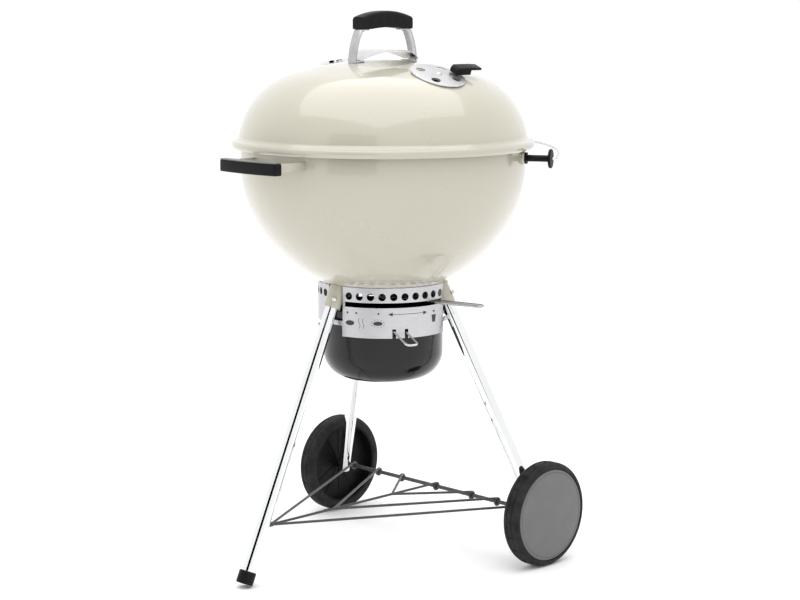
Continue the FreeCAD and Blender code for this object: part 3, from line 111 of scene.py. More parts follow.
# Printed marks, as azimuths in degrees and heights in metres.
DOT_AZIMUTHS, DOT_HEIGHT, DOT_RADIUS = (13.6, 22.2, 41.9), 0.5003, 0.0020
CLOSED_MARK = (16.1, 0.4805)
WAVE_AZIMUTHS, WAVE_HEIGHT = (25.0, 28.5), 0.4805
SUN_MARK = (41.4, 0.4813)
ARROW_FIRST, ARROW_LAST, ARROW_HEIGHT = 50.1, 87.1, 0.4989
BUCKET_AZIMUTH = 95.7


# ---------------------------------------------------------------- what a user would change

def colour(label, told, default):
    """A colour setting, in linear light."""
    return FloatVectorProperty(name=label, description=told, subtype="COLOR", size=3, min=0, max=1,
                               default=default)


def length(label, told, default):
    """A length setting, in metres."""
    return FloatProperty(name=label, description=told, unit="LENGTH", min=0, precision=4, default=default)


class KettleColours(bpy.types.PropertyGroup):
    """The colours of the grill's finishes."""

    ivory: colour("Ivory enamel", "Lid, bowl, leg sockets and brackets", (0.445, 0.422, 0.342))
    black: colour("Black enamel", "Ash catcher", (0.004, 0.004, 0.0045))
    chrome: colour("Chrome", "Legs and gauge rim", (0.86, 0.87, 0.88))
    aluminium: colour("Aluminium", "Collar, damper and sweeper", (0.56, 0.56, 0.57))
    steel: colour("Plated steel", "Wires, grates, struts and screws", (0.50, 0.50, 0.51))
    wire: colour("Dark wire", "Bottom rack", (0.050, 0.050, 0.055))
    nylon: colour("Black nylon", "Handles, discs and wheel rims", (0.006, 0.006, 0.0065))
    cap: colour("Hubcap grey", "Hubcaps and the tray of the front handle", (0.115, 0.112, 0.115))
    rubber: colour("Tyre rubber", "Tyres", (0.014, 0.014, 0.015))
    dial: colour("Dial", "Face of the lid gauge", (0.80, 0.80, 0.77))
    ink: colour("Ink", "Printed marks on the collar and the dial", (0.020, 0.020, 0.022))
    needle: colour("Needle", "Needle of the lid gauge", (0.55, 0.03, 0.02))
    floor: colour("Floor", "Studio floor", (0.97, 0.97, 0.97))


class KettleSizes(bpy.types.PropertyGroup):
    """The sizes of the detail that the frame leaves plain."""

    tread_notches: IntProperty(name="Tread notches", description="Notches round each tyre",
                               min=4, max=60, default=20)
    tread_depth: length("Tread depth", "Depth of the tyre's notches and grooves", 0.0012)
    cap_groove: length("Hubcap groove", "Width of the ring groove inside the hubcap's rim", 0.0012)
    moulded_edge: length("Moulded edge", "Rounding of the edges of moulded plastic", 0.0016)
    pressed_edge: length("Pressed edge", "Rounding of the edges of pressed steel", 0.0004)
    recess: length("Screw recess", "Depth of the cross in each screw head", 0.0012)
    ink_width: length("Ink width", "Width of the lines printed on the collar", 0.0011)


class KettleStudio(bpy.types.PropertyGroup):
    """The camera and the lights."""

    azimuth: FloatProperty(name="Camera azimuth", description="Camera's angle round from the front",
                           unit="ROTATION", default=math.radians(45.8229))
    tilt: FloatProperty(name="Camera tilt", description="Camera's angle below the level",
                        unit="ROTATION", default=math.radians(8.3042))
    distance: length("Camera distance", "Level distance from the kettle's axis to the camera", 3.7488)
    height: length("Camera height", "Height of the camera above the floor", 1.1051)
    lens: FloatProperty(name="Lens", description="Focal length", subtype="DISTANCE_CAMERA", default=86.57)
    sky: FloatProperty(name="Room light", description="Strength of the white room", min=0, default=1.08)
    card_turn: FloatProperty(name="Card turn", description="Dark card's angle round from the camera",
                             unit="ROTATION", default=math.radians(-24))
    card_width: length("Card width", "Width of the dark card that the chrome reflects", 4.2)
    overhead: FloatProperty(name="Overhead softbox", description="Power of the softbox over the lid",
                            unit="POWER", default=85.0)



# ---------------------------------------------------------------- modelling

def only(piece):
    """Select one object and nothing else."""
    bpy.ops.object.select_all(action="DESELECT")
    piece.hide_viewport = False
    piece.select_set(True)
    bpy.context.view_layer.objects.active = piece


def edit(piece, kind="VERT"):
    """Open one object in edit mode with nothing selected."""
    only(piece)
    bpy.ops.object.mode_set(mode="EDIT")
    bpy.ops.mesh.select_mode(type=kind)
    bpy.ops.mesh.select_all(action="DESELECT")


def leave():
    """Go back to object mode."""
    bpy.ops.object.mode_set(mode="OBJECT")


def select_faces(piece, wanted):
    """In edit mode, select the faces whose centre and normal pass a test; give how many there are."""
    leave()
    found = 0
    for face in piece.data.polygons:
        face.select = bool(wanted(face.center, face.normal))
        found += face.select
    bpy.ops.object.mode_set(mode="EDIT")
    return found


def settle(piece, name):
    """Name a finished object and put its place into its mesh."""
    only(piece)
    bpy.ops.object.transform_apply(location=True, rotation=True, scale=True)
    piece.name = name
    piece.data.name = name
    return piece


def smooth(piece, degrees=35):
    """Shade a piece smooth, with its corners kept."""
    only(piece)
    bpy.ops.object.shade_smooth_by_angle(angle=math.radians(degrees))
    return piece


def apply_modifier(piece, kind, **settings):
    """Add a modifier, set it and apply it."""
    only(piece)
    modifier = piece.modifiers.new(kind.title(), kind)
    for key, number in settings.items():
        setattr(modifier, key, number)
    bpy.ops.object.modifier_apply(modifier=modifier.name)
    return piece


def round_edges(piece, width, segments=2, degrees=32):
    """Round the corners of a piece that turn by more than an angle."""
    return apply_modifier(piece, "BEVEL", width=width, segments=segments, limit_method="ANGLE",
                          angle_limit=math.radians(degrees), use_clamp_overlap=True)


def start_line(name, first):
    """Open a new object in edit mode that is one vertex at a point."""
    bpy.ops.object.select_all(action="DESELECT")
    bpy.ops.mesh.primitive_plane_add(size=0.002, location=first)
    piece = bpy.context.object
    piece.name = name
    bpy.ops.object.mode_set(mode="EDIT")
    bpy.ops.mesh.select_mode(type="VERT")
    bpy.ops.mesh.select_all(action="SELECT")
    bpy.ops.mesh.merge(type="CENTER")
    return piece


def draw_line(points):
    """Extrude the selected vertex from point to point."""
    for here, there in zip(points, points[1:]):
        bpy.ops.mesh.extrude_vertices_move(TRANSFORM_OT_translate={"value": Vector(there) - Vector(here)})


def close_line(piece):
    """Join the two ends of a drawn line."""
    leave()
    vertices = piece.data.vertices
    for vertex in vertices:
        vertex.select = vertex.index in (0, len(vertices) - 1)
    bpy.ops.object.mode_set(mode="EDIT")
    bpy.ops.mesh.edge_face_add()


def lathe(name, profile, centre, along, steps=96, closed=True):
    """Spin a line of (radius, height) points about an axis through a centre."""
    centre = Vector(centre)
    along = Vector(along).normalized()
    out = along.orthogonal().normalized()
    points = [centre + out * radius + along * height for radius, height in profile]
    piece = start_line(name, points[0])
    draw_line(points)
    if closed:
        close_line(piece)
    bpy.ops.mesh.select_all(action="SELECT")
    bpy.ops.mesh.spin(steps=steps, angle=2 * math.pi, center=centre, axis=along)
    bpy.ops.mesh.select_all(action="SELECT")
    bpy.ops.mesh.remove_doubles(threshold=1e-6)
    bpy.ops.mesh.normals_make_consistent(inside=False)
    leave()
    return settle(piece, name)


def arc(centre, radius, first, last, count):
    """Points of (radius, height) round an arc, its angles in degrees from outwards to along the axis."""
    angles = [math.radians(first + (last - first) * step / count) for step in range(count + 1)]
    return [(centre[0] + radius * math.cos(a), centre[1] + radius * math.sin(a)) for a in angles]


def copy_of(node, name):
    """A separate copy of a node's mesh, its triangles joined and its flat faces made whole."""
    source = frame["nodes"][node]
    piece = bpy.data.objects.new(name, source.data.copy())
    bpy.context.scene.collection.objects.link(piece)
    piece.data.name = name
    edit(piece)
    bpy.ops.mesh.customdata_custom_splitnormals_clear()
    bpy.ops.mesh.select_all(action="SELECT")
    bpy.ops.mesh.remove_doubles(threshold=2e-6)
    bpy.ops.mesh.dissolve_limited(angle_limit=math.radians(0.6))
    leave()
    return piece


def mount_piece(piece, body, slot, finish, *stands_for):
    """Give a finished piece its finish and its body, and hide the nodes that it stands for. Its slot is not
    used.
    """
    piece.data.materials.clear()
    piece.data.materials.append(bpy.data.materials[finish])
    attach(piece, body)
    if stands_for:
        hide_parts(*stands_for)
    return piece


def body_of(node):
    """The body that a node rides on."""
    return frame["nodes"][node]["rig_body"]


def separate_solids(node):
    """The separate solids of a node: the centre of each, and the direction it is thinnest in."""
    mesh = frame["nodes"][node].data
    places = np.array([vertex.co for vertex in mesh.vertices])
    owner = {}
    group = list(range(len(places)))

    def root(item):
        while group[item] != item:
            group[item] = group[group[item]]
            item = group[item]
        return item

    for index, place in enumerate(np.round(places, 6)):
        group[root(index)] = root(owner.setdefault(tuple(place), index))
    for face in mesh.polygons:
        for corner in face.vertices[1:]:
            group[root(corner)] = root(face.vertices[0])
    solids = {}
    for index in range(len(places)):
        solids.setdefault(root(index), []).append(index)
    found = []
    for members in solids.values():
        cloud = places[members]
        middle = (cloud.max(0) + cloud.min(0)) / 2
        thin = np.linalg.eigh(np.cov((cloud - cloud.mean(0)).T))[1][:, 0]
        spread = (cloud - middle) @ thin
        found.append((Vector(middle), Vector(thin), float(spread.min()), float(spread.max())))
    return found


# ---------------------------------------------------------------- finishes

class Finish:
    """A material's nodes, joined up to its surface shader."""

    def __init__(self, name, base, roughness, **sockets):
        self.material = bpy.data.materials.get(name) or bpy.data.materials.new(name)
        self.material.use_nodes = True
        self.material.diffuse_color = (*base, 1)
        self.tree = self.material.node_tree
        self.shader = self.tree.nodes["Principled BSDF"]
        self.shader.inputs["Base Color"].default_value = (*base, 1)
        self.shader.inputs["Roughness"].default_value = roughness
        for key, number in sockets.items():
            self.shader.inputs[key.replace("_", " ")].default_value = number

    def add(self, kind, wired=None, **settings):
        """Add a node, set it and wire or fill its sockets."""
        made = self.tree.nodes.new(kind)
        for key, word in settings.items():
            setattr(made, key, word)
        for key, source in (wired or {}).items():
            if isinstance(source, bpy.types.NodeSocket):
                self.tree.links.new(source, made.inputs[key])
            else:
                made.inputs[key].default_value = source
        return made

    def where(self, centre=(0, 0, 0), turn=(0, 0, 0)):
        """Object coordinates, measured from a centre and turned."""
        place = self.add("ShaderNodeTexCoord").outputs["Object"]
        wired = {"Vector": place, "Location": centre, "Rotation": turn}
        return self.add("ShaderNodeMapping", wired, vector_type="TEXTURE").outputs["Vector"]

    def noise(self, scale, detail=2.0, rough=0.5, vector=None):
        """A cloudy pattern from 0 to 1."""
        wired = {"Vector": vector or self.where(), "Scale": scale, "Detail": detail, "Roughness": rough}
        return self.add("ShaderNodeTexNoise", wired).outputs["Fac"]

    def cells(self, scale):
        """A pebbled pattern from 0 to 1."""
        wired = {"Vector": self.where(), "Scale": scale}
        return self.add("ShaderNodeTexVoronoi", wired, feature="SMOOTH_F1").outputs["Distance"]

    def sum(self, first, second, share):
        """One pattern with a share of another on top."""
        wired = {0: second, 1: share, 2: first}
        return self.add("ShaderNodeMath", wired, operation="MULTIPLY_ADD").outputs[0]

    def tones(self, pattern, dark, light, low=0.3, high=0.7):
        """Colour the surface from dark to light by a pattern."""
        ramp = self.add("ShaderNodeValToRGB", {"Fac": pattern})
        ramp.color_ramp.elements[0].position = low
        ramp.color_ramp.elements[1].position = high
        ramp.color_ramp.elements[0].color = (*dark, 1)
        ramp.color_ramp.elements[1].color = (*light, 1)
        self.tree.links.new(ramp.outputs["Color"], self.shader.inputs["Base Color"])

    def polish(self, pattern, least, most):
        """Vary the roughness from least to most by a pattern."""
        wired = {"Value": pattern, "From Min": 0.3, "From Max": 0.7, "To Min": least, "To Max": most}
        spread = self.add("ShaderNodeMapRange", wired).outputs["Result"]
        self.tree.links.new(spread, self.shader.inputs["Roughness"])

    def relief(self, height, strength, distance):
        """Raise the surface by a pattern."""
        wired = {"Height": height, "Strength": strength, "Distance": distance}
        bump = self.add("ShaderNodeBump", wired)
        self.tree.links.new(bump.outputs["Normal"], self.shader.inputs["Normal"])

    def round_streaks(self, centre, turn=(0, 0, 0), fine=900.0):
        """Fine brushing round an axis, streaked along the turn and fine across it."""
        place = self.where(centre, turn)
        split = self.add("ShaderNodeSeparateXYZ", {"Vector": place})
        flat = self.add("ShaderNodeCombineXYZ", {"X": split.outputs["X"], "Y": split.outputs["Y"]})
        level = self.add("ShaderNodeVectorMath", {0: flat.outputs["Vector"]}, operation="LENGTH")
        radius = level.outputs["Value"]
        wired = {0: split.outputs["Y"], 1: split.outputs["X"]}
        angle = self.add("ShaderNodeMath", wired, operation="ARCTAN2").outputs[0]
        out = self.add("ShaderNodeMath", {0: radius, 1: fine}, operation="MULTIPLY").outputs[0]
        up = self.add("ShaderNodeMath", {0: split.outputs["Z"], 1: fine}, operation="MULTIPLY").outputs[0]
        across = self.add("ShaderNodeMath", {0: out, 1: up}, operation="ADD").outputs[0]
        around = self.add("ShaderNodeMath", {0: angle, 1: 5.0}, operation="MULTIPLY").outputs[0]
        grain = self.add("ShaderNodeCombineXYZ", {"X": around, "Y": across})
        return self.noise(1.0, 3.0, 0.6, grain.outputs["Vector"])


def shade(tint, factor):
    """A colour made darker or lighter."""
    return tuple(min(1.0, part * factor) for part in tint)


def mix_finishes(tints):
    """Make every finish of the grill."""
    ivory = Finish("ivory_enamel", tints.ivory, 0.30, Coat_Weight=1.0, Coat_Roughness=0.07, Coat_IOR=1.5)
    cloud = ivory.noise(3.0, 3.0)
    ivory.tones(cloud, shade(tints.ivory, 0.975), shade(tints.ivory, 1.015))
    ivory.polish(ivory.noise(11.0, 4.0, 0.6), 0.26, 0.36)
    ivory.relief(ivory.sum(ivory.noise(160.0, 1.0), ivory.noise(14.0, 1.0), 2.0), 0.05, 0.0008)

    black = Finish("black_enamel", tints.black, 0.14, Specular_IOR_Level=0.25, Coat_Weight=0.25,
                   Coat_Roughness=0.05, Coat_IOR=1.5)
    black.tones(black.noise(240.0, 4.0, 0.7), shade(tints.black, 0.8), shade(tints.black, 1.8), 0.45, 0.8)
    black.polish(black.noise(8.0, 3.0), 0.10, 0.22)
    black.relief(black.noise(120.0, 1.0), 0.06, 0.0008)

    chrome = Finish("chrome", tints.chrome, 0.06, Metallic=1.0)
    chrome.tones(chrome.noise(7.0, 3.0), shade(tints.chrome, 0.96), tints.chrome)
    chrome.polish(chrome.noise(30.0, 5.0, 0.65), 0.045, 0.11)
    chrome.relief(chrome.noise(25.0, 1.0), 0.02, 0.0006)

    collar = Finish("brushed_round", tints.aluminium, 0.34, Metallic=1.0, Anisotropic=0.35)
    streaks = collar.round_streaks(AXIS)
    collar.tones(streaks, shade(tints.aluminium, 0.86), shade(tints.aluminium, 1.10))
    collar.polish(streaks, 0.28, 0.42)
    collar.relief(streaks, 0.10, 0.0004)

    low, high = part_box("damper_rivet")
    disc = Finish("brushed_disc", tints.aluminium, 0.34, Metallic=1.0, Anisotropic=0.35)
    rings = disc.round_streaks((low + high) / 2, DAMPER_TURN)
    disc.tones(rings, shade(tints.aluminium, 0.88), shade(tints.aluminium, 1.12))
    disc.polish(rings, 0.26, 0.40)
    disc.relief(rings, 0.08, 0.0004)

    steel = Finish("satin_steel", tints.steel, 0.26, Metallic=1.0)
    steel.tones(steel.noise(45.0, 4.0, 0.6), shade(tints.steel, 0.86), shade(tints.steel, 1.06))
    steel.polish(steel.noise(160.0, 3.0, 0.6), 0.20, 0.34)
    steel.relief(steel.noise(700.0, 2.0), 0.05, 0.0003)

    bright = Finish("bright_wire", shade(tints.steel, 1.35), 0.14, Metallic=1.0)
    bright.tones(bright.noise(60.0, 4.0, 0.6), shade(tints.steel, 1.15), shade(tints.steel, 1.45))
    bright.polish(bright.noise(120.0, 3.0, 0.6), 0.10, 0.20)
    bright.relief(bright.noise(400.0, 1.0), 0.03, 0.0003)

    wire = Finish("dark_wire", tints.wire, 0.42, Metallic=0.35)
    wire.tones(wire.noise(320.0, 4.0, 0.7), shade(tints.wire, 0.75), shade(tints.wire, 1.7))
    wire.polish(wire.noise(90.0, 3.0), 0.34, 0.52)
    wire.relief(wire.noise(900.0, 2.0), 0.20, 0.0004)

    nylon = Finish("black_nylon", tints.nylon, 0.45, Specular_IOR_Level=0.12)
    grain = nylon.cells(1300.0)
    nylon.tones(nylon.noise(60.0, 4.0, 0.6), shade(tints.nylon, 0.8), shade(tints.nylon, 1.5))
    nylon.polish(nylon.noise(35.0, 3.0), 0.36, 0.52)
    nylon.relief(nylon.sum(grain, nylon.noise(240.0, 2.0), 0.5), 0.16, 0.0003)

    cap = Finish("grey_plastic", tints.cap, 0.34)
    cap.tones(cap.noise(26.0, 4.0, 0.6), shade(tints.cap, 0.93), shade(tints.cap, 1.06))
    cap.polish(cap.noise(18.0, 3.0), 0.28, 0.38)
    cap.relief(cap.cells(1500.0), 0.08, 0.0002)

    rubber = Finish("tyre_rubber", tints.rubber, 0.62, Specular_IOR_Level=0.12)
    rubber.tones(rubber.noise(40.0, 5.0, 0.65), shade(tints.rubber, 0.7), shade(tints.rubber, 2.2))
    rubber.polish(rubber.noise(22.0, 4.0), 0.48, 0.72)
    rubber.relief(rubber.sum(rubber.noise(420.0, 3.0, 0.6), rubber.noise(60.0, 2.0), 1.5), 0.22, 0.0005)

    dial = Finish("dial_paint", tints.dial, 0.42)
    dial.tones(dial.noise(50.0, 3.0), shade(tints.dial, 0.96), tints.dial)
    dial.relief(dial.noise(600.0, 2.0), 0.04, 0.0002)
    ink = Finish("ink", tints.ink, 0.48)
    ink.tones(ink.noise(500.0, 3.0), tints.ink, shade(tints.ink, 1.8))
    needle = Finish("needle_paint", tints.needle, 0.34)
    needle.tones(needle.noise(120.0, 3.0), shade(tints.needle, 0.9), shade(tints.needle, 1.1))
    glass = Finish("gauge_glass", (1.0, 1.0, 1.0), 0.02, Transmission_Weight=1.0, IOR=1.45)
    glass.relief(glass.noise(30.0, 1.0), 0.01, 0.0003)


# ---------------------------------------------------------------- operators

class KETTLE_OT_finishes(bpy.types.Operator):
    """Mix the finishes and put them on the frame's own nodes"""

    bl_idname = "kettle.finishes"
    bl_label = "Finishes"

    def execute(self, context):
        mix_finishes(context.scene.kettle_colours)
        slots = {row["node"]: row["material_slot"] for row in frame["record"]["subparts"]}
        for node, thing in frame["nodes"].items():
            finish = bpy.data.materials[FINISH_OF_NODE.get(node, FINISH_OF_SLOT[slots[node]])]
            for place in thing.material_slots:
                place.material = finish
        return {"FINISHED"}


class KETTLE_OT_wheels(bpy.types.Operator):
    """Model the tyres, with their grooves and notches, and the domed hubcaps"""

    bl_idname = "kettle.wheels"
    bl_label = "Wheels"

    def tyre(self, word, side, sizes):
        low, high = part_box(f"wheel_tyre_{word}")
        rim_low, rim_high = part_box(f"wheel_rim_{word}")
        centre = (low + high) / 2
        centre.x = 0
        along = Vector((side, 0, 0))
        inner, outer = sorted((abs(low.x), abs(high.x)))
        radius = (high.z - low.z) / 2
        seat = (rim_high.z - rim_low.z) / 2 + 0.0001
        cap_low, cap_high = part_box(f"hubcap_{word}")
        ledge = (cap_high.z - cap_low.z) / 2 + CAP_GAP
        shoulder, deep = TYRE_SHOULDER, sizes.tread_depth
        land = GROOVE_AT + GROOVE_WIDE
        near_walls = (GROOVE_AT + GROOVE_SLOPE, land - GROOVE_SLOPE)
        tread = [(radius - deep, inner + wall) for wall in near_walls]
        far = [(radius - deep, outer - wall) for wall in reversed(near_walls)]
        profile = [(seat, inner)]
        profile += arc((radius - shoulder, inner + shoulder), shoulder, -90, 0, 6)
        profile += [(radius, inner + GROOVE_AT), *tread, (radius, inner + land)]
        profile += [(radius, outer - land), *far, (radius, outer - GROOVE_AT)]
        profile += arc((radius - shoulder, outer - shoulder), shoulder, 0, 90, 6)
        profile += [(ledge, outer - CAP_GAP), (ledge, outer - CAP_STEP), (seat, outer - CAP_STEP)]
        steps = sizes.tread_notches * 8
        piece = lathe(f"tyre_{word}", profile, centre, along, steps)
        edit(piece, "FACE")
        pitch = 2 * math.pi / sizes.tread_notches

        def in_notch(place, normal):
            away = math.hypot(place.y - centre.y, place.z - centre.z)
            turn = (math.atan2(place.y - centre.y, place.z - centre.z) + pitch / 16) % pitch
            across = abs(place.x)
            return away > radius * 0.997 and turn < pitch / 8 and inner + land < across < outer - land

        if not select_faces(piece, in_notch):
            raise RuntimeError(f"no tread faces were found on the {word} tyre")
        bpy.ops.mesh.inset(thickness=0.0006, depth=-deep)
        leave()
        smooth(piece, 30)
        return mount_piece(piece, f"wheel_{word}", "tyre_rubber", "tyre_rubber", f"wheel_tyre_{word}")

    def hubcap(self, word, side, sizes):
        low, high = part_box(f"hubcap_{word}")
        centre = (low + high) / 2
        centre.x = 0
        crown = max(abs(low.x), abs(high.x))
        edge = min(abs(low.x), abs(high.x))
        radius = (high.z - low.z) / 2
        brim = crown - CAP_CROWN
        reach = radius - 0.0062
        bulge = (reach ** 2 + 0.0022 ** 2) / (2 * 0.0022)
        span = math.degrees(math.asin(reach / bulge))
        dome = arc((0, crown - 0.0002 - bulge), bulge, 90, 90 - span, 14)
        dome[0] = (0.0, dome[0][1])
        wide = sizes.cap_groove
        start = dome[-1][1]
        profile = dome + [(reach + wide * 0.3, start - 0.0006), (reach + wide * 0.8, start - 0.0006)]
        profile += [(reach + wide * 1.1, start + 0.0001), (radius - 0.0030, start + 0.0002)]
        profile += arc((radius - 0.0024, brim - 0.0024), 0.0024, 76, 0, 5)
        profile += [(radius, edge), (radius - 0.0016, edge), (radius - 0.0016, brim - 0.0026)]
        profile += [(reach, brim - 0.0022), (reach * 0.5, brim - 0.0005), (0.0, crown - 0.0018)]
        piece = lathe(f"hubcap_piece_{word}", profile, centre, Vector((side, 0, 0)), 128, closed=False)
        smooth(piece, 32)
        return mount_piece(piece, f"wheel_{word}", "grey_plastic", "grey_plastic", f"hubcap_{word}")

    def execute(self, context):
        for word, side in (("right", 1), ("left", -1)):
            self.tyre(word, side, context.scene.kettle_sizes)
            self.hubcap(word, side, context.scene.kettle_sizes)
        return {"FINISHED"}


class KETTLE_OT_moulded(bpy.types.Operator):
    """Round the edges of the moulded front handle, tray, tab and foot"""

    bl_idname = "kettle.moulded"
    bl_label = "Moulded Pieces"

    def execute(self, context):
        edge = context.scene.kettle_sizes.moulded_edge
        jobs = [("handle_grip", "front_grip", "black_plastic", "black_nylon", edge * 1.6),
                ("handle_tray", "grip_tray", "grey_plastic", "grey_plastic", edge * 0.4),
                ("damper_tab", "vent_tab", "black_plastic", "black_nylon", edge * 0.7),
                ("foot_cap", "foot", "black_plastic", "black_nylon", edge * 0.9)]
        for node, name, slot, finish, width in jobs:
            piece = copy_of(node, name)
            round_edges(piece, width, 3)
            smooth(piece, 40)
            mount_piece(piece, body_of(node), slot, finish, node)
        return {"FINISHED"}


class KETTLE_OT_pressed(bpy.types.Operator):
    """Break the edges of the pressed steel brackets, struts and leg sockets"""

    bl_idname = "kettle.pressed"
    bl_label = "Pressed Steel"

    def execute(self, context):
        edge = context.scene.kettle_sizes.pressed_edge
        jobs = [(f"leg_socket_{word}", f"socket_{word}", "enamel_ivory", "ivory_enamel", edge * 2)
                for word in ("front", "left", "right")]
        jobs += [(f"handle_strip_{word}", f"grip_bracket_{word}", "enamel_ivory", "ivory_enamel", edge * 2)
                 for word in ("left", "right")]
        jobs += [(f"lid_strut_{word}", f"strut_{word}", "plated_steel", "satin_steel", edge)
                 for word in ("front", "rear")]
        for node, name, slot, finish, width in jobs:
            piece = copy_of(node, name)
            round_edges(piece, width, 2)
            smooth(piece, 40)
            mount_piece(piece, body_of(node), slot, finish, node)
        return {"FINISHED"}


class KETTLE_OT_screws(bpy.types.Operator):
    """Model the screws with their domed heads and cross recesses"""

    bl_idname = "kettle.screws"
    bl_label = "Screws"

    def head(self, name, seat, away, radius, high, deep):
        bulge = (radius ** 2 + high ** 2) / (2 * high)
        span = math.degrees(math.asin(min(1.0, radius / bulge)))
        dome = arc((0, high - bulge), bulge, 90, 90 - span, 7)
        dome[0] = (0.0, high)
        profile = dome + [(radius, -0.0002), (0.0, -0.0002)]
        piece = lathe(name, profile, seat, away, 32, closed=False)
        cutter_size = radius * 1.25
        frame_turn = Vector(away).to_track_quat("Z", "Y")
        bars = []
        for quarter in (0, math.pi / 2):
            bpy.ops.object.select_all(action="DESELECT")
            bpy.ops.mesh.primitive_cube_add(size=1)
            bar = bpy.context.object
            bar.matrix_world = (Matrix.Translation(Vector(seat) + Vector(away) * (high + 0.0006))
                                @ frame_turn.to_matrix().to_4x4() @ Matrix.Rotation(quarter, 4, "Z")
                                @ Matrix.Diagonal((cutter_size, radius * 0.26, 2 * (deep + 0.0006), 1)))
            bars.append(bar)
        for bar in bars:
            apply_modifier(piece, "BOOLEAN", object=bar, operation="DIFFERENCE", solver="EXACT")
        for bar in bars:
            bpy.data.objects.remove(bar)
        smooth(piece, 28)
        return piece

    def execute(self, context):
        deep = context.scene.kettle_sizes.recess
        jobs = [("socket_screws", "stand", 0.0048, 0.0026, False),
                ("handle_screws", "stand", 0.0040, 0.0024, False),
                ("lid_grip_screws", "lid", 0.0050, 0.0024, True)]
        for node, body, radius, high, down in jobs:
            heads = []
            for number, (centre, thin, least, most) in enumerate(separate_solids(node), start=1):
                away = thin.normalized()
                if down:
                    away = -UP
                elif node == "handle_screws":
                    away = Vector((0, 1, 0))
                elif away.dot(centre - AXIS - UP * centre.z) < 0:
                    away = -away
                reach = max(abs(least), abs(most))
                seat = centre + away * (reach - high)
                heads.append(self.head(f"{node}_{number}", seat, away, radius, high, deep))
            only(heads[0])
            for extra in heads[1:]:
                extra.select_set(True)
            bpy.ops.object.join()
            piece = settle(heads[0], f"{node}_heads")
            mount_piece(piece, body, "plated_steel", "bright_wire", node)
        return {"FINISHED"}


class KETTLE_OT_collar_marks(bpy.types.Operator):
    """Print the plain sweeper and ash marks on the front of the collar"""

    bl_idname = "kettle.collar_marks"
    bl_label = "Collar Marks"

    def on_collar(self, azimuth, height, proud=0.0):
        """The point of the collar's outside at an azimuth in degrees and a height."""
        turn = math.radians(azimuth)
        reach = COLLAR_RADIUS + proud
        return AXIS + Vector((reach * math.sin(turn), -reach * math.cos(turn), height))

    def stroke(self, name, points, width):
        """A printed line through (azimuth, height) points."""
        sink = -width * 0.36
        places = [self.on_collar(azimuth, height, sink) for azimuth, height in points]
        piece = start_line(name, places[0])
        draw_line(places)
        leave()
        only(piece)
        bpy.ops.object.convert(target="CURVE")
        line = bpy.context.object
        line.data.bevel_depth = width / 2
        line.data.bevel_resolution = 2
        line.data.use_fill_caps = True
        bpy.ops.object.convert(target="MESH")
        return bpy.context.object

    def ring(self, azimuth, height, wide, high, count=20):
        """Points round an oval, its width in degrees of azimuth."""
        turns = [2 * math.pi * step / count for step in range(count + 1)]
        return [(azimuth + wide * math.cos(t), height + high * math.sin(t)) for t in turns]

    def patch(self, name, points):
        """A printed solid shape inside a ring of (azimuth, height) points."""
        places = [self.on_collar(azimuth, height, 0.0004) for azimuth, height in points]
        piece = start_line(name, places[0])
        draw_line(places)
        close_line(piece)
        bpy.ops.mesh.select_all(action="SELECT")
        bpy.ops.mesh.edge_face_add()
        middle = sum(places, Vector()) / len(places)
        inward = (AXIS + UP * middle.z - middle).normalized() * 0.0010
        bpy.ops.mesh.extrude_region_move(TRANSFORM_OT_translate={"value": inward})
        bpy.ops.mesh.select_all(action="SELECT")
        bpy.ops.mesh.normals_make_consistent(inside=False)
        leave()
        return piece

    def execute(self, context):
        width = context.scene.kettle_sizes.ink_width
        per_metre = math.degrees(1 / COLLAR_RADIUS)
        dot_wide = DOT_RADIUS * per_metre
        shapes = [self.ring(azimuth, DOT_HEIGHT, dot_wide, DOT_RADIUS, 10)[:-1] for azimuth in DOT_AZIMUTHS]
        shapes.append(self.ring(*CLOSED_MARK, 4.2, 0.0049, 24)[:-1])
        shapes.append(self.ring(*SUN_MARK, 0.0089 * per_metre, 0.0040, 24)[:-1])
        lines = []
        for azimuth in WAVE_AZIMUTHS:
            wave = [(azimuth + 0.0016 * math.sin(step * 0.52) * per_metre, WAVE_HEIGHT + 0.00162 * (step - 6))
                    for step in range(13)]
            lines.append((wave, width * 1.2))
        sun, sun_height = SUN_MARK
        for turn in range(12):
            a = math.pi * turn / 6
            near = (sun + 0.0105 * math.cos(a) * per_metre, sun_height + 0.0056 * math.sin(a))
            far = (sun + 0.0140 * math.cos(a) * per_metre, sun_height + 0.0085 * math.sin(a))
            lines.append(([near, far], width))
        barb, half = 0.009 * per_metre, 0.0038
        start, run = ARROW_FIRST + barb, ARROW_LAST - ARROW_FIRST - 2 * barb
        lines.append(([(start + run * step / 20, ARROW_HEIGHT) for step in range(21)], width * 1.4))
        for tip, way in ((ARROW_FIRST, 1), (ARROW_LAST, -1)):
            back = tip + way * barb
            shapes.append([(tip, ARROW_HEIGHT), (back, ARROW_HEIGHT + half), (back, ARROW_HEIGHT - half)])
        rim, foot, bucket = 0.0060 * per_metre, 0.0042 * per_metre, BUCKET_AZIMUTH
        shapes.append([(bucket - rim, 0.4921), (bucket - foot, 0.4777), (bucket + foot, 0.4777),
                       (bucket + rim, 0.4921)])
        shapes.append([(bucket - foot, 0.5005), (bucket, 0.4962), (bucket + foot, 0.5005)])
        strokes = [self.stroke(f"mark_{number}", *line) for number, line in enumerate(lines)]
        strokes += [self.patch(f"solid_mark_{number}", points) for number, points in enumerate(shapes)]
        only(strokes[0])
        for extra in strokes[1:]:
            extra.select_set(True)
        bpy.ops.object.join()
        piece = settle(bpy.context.object, "collar_marks")
        smooth(piece, 60)
        mount_piece(piece, "stand", "black_plastic", "ink")
        return {"FINISHED"}


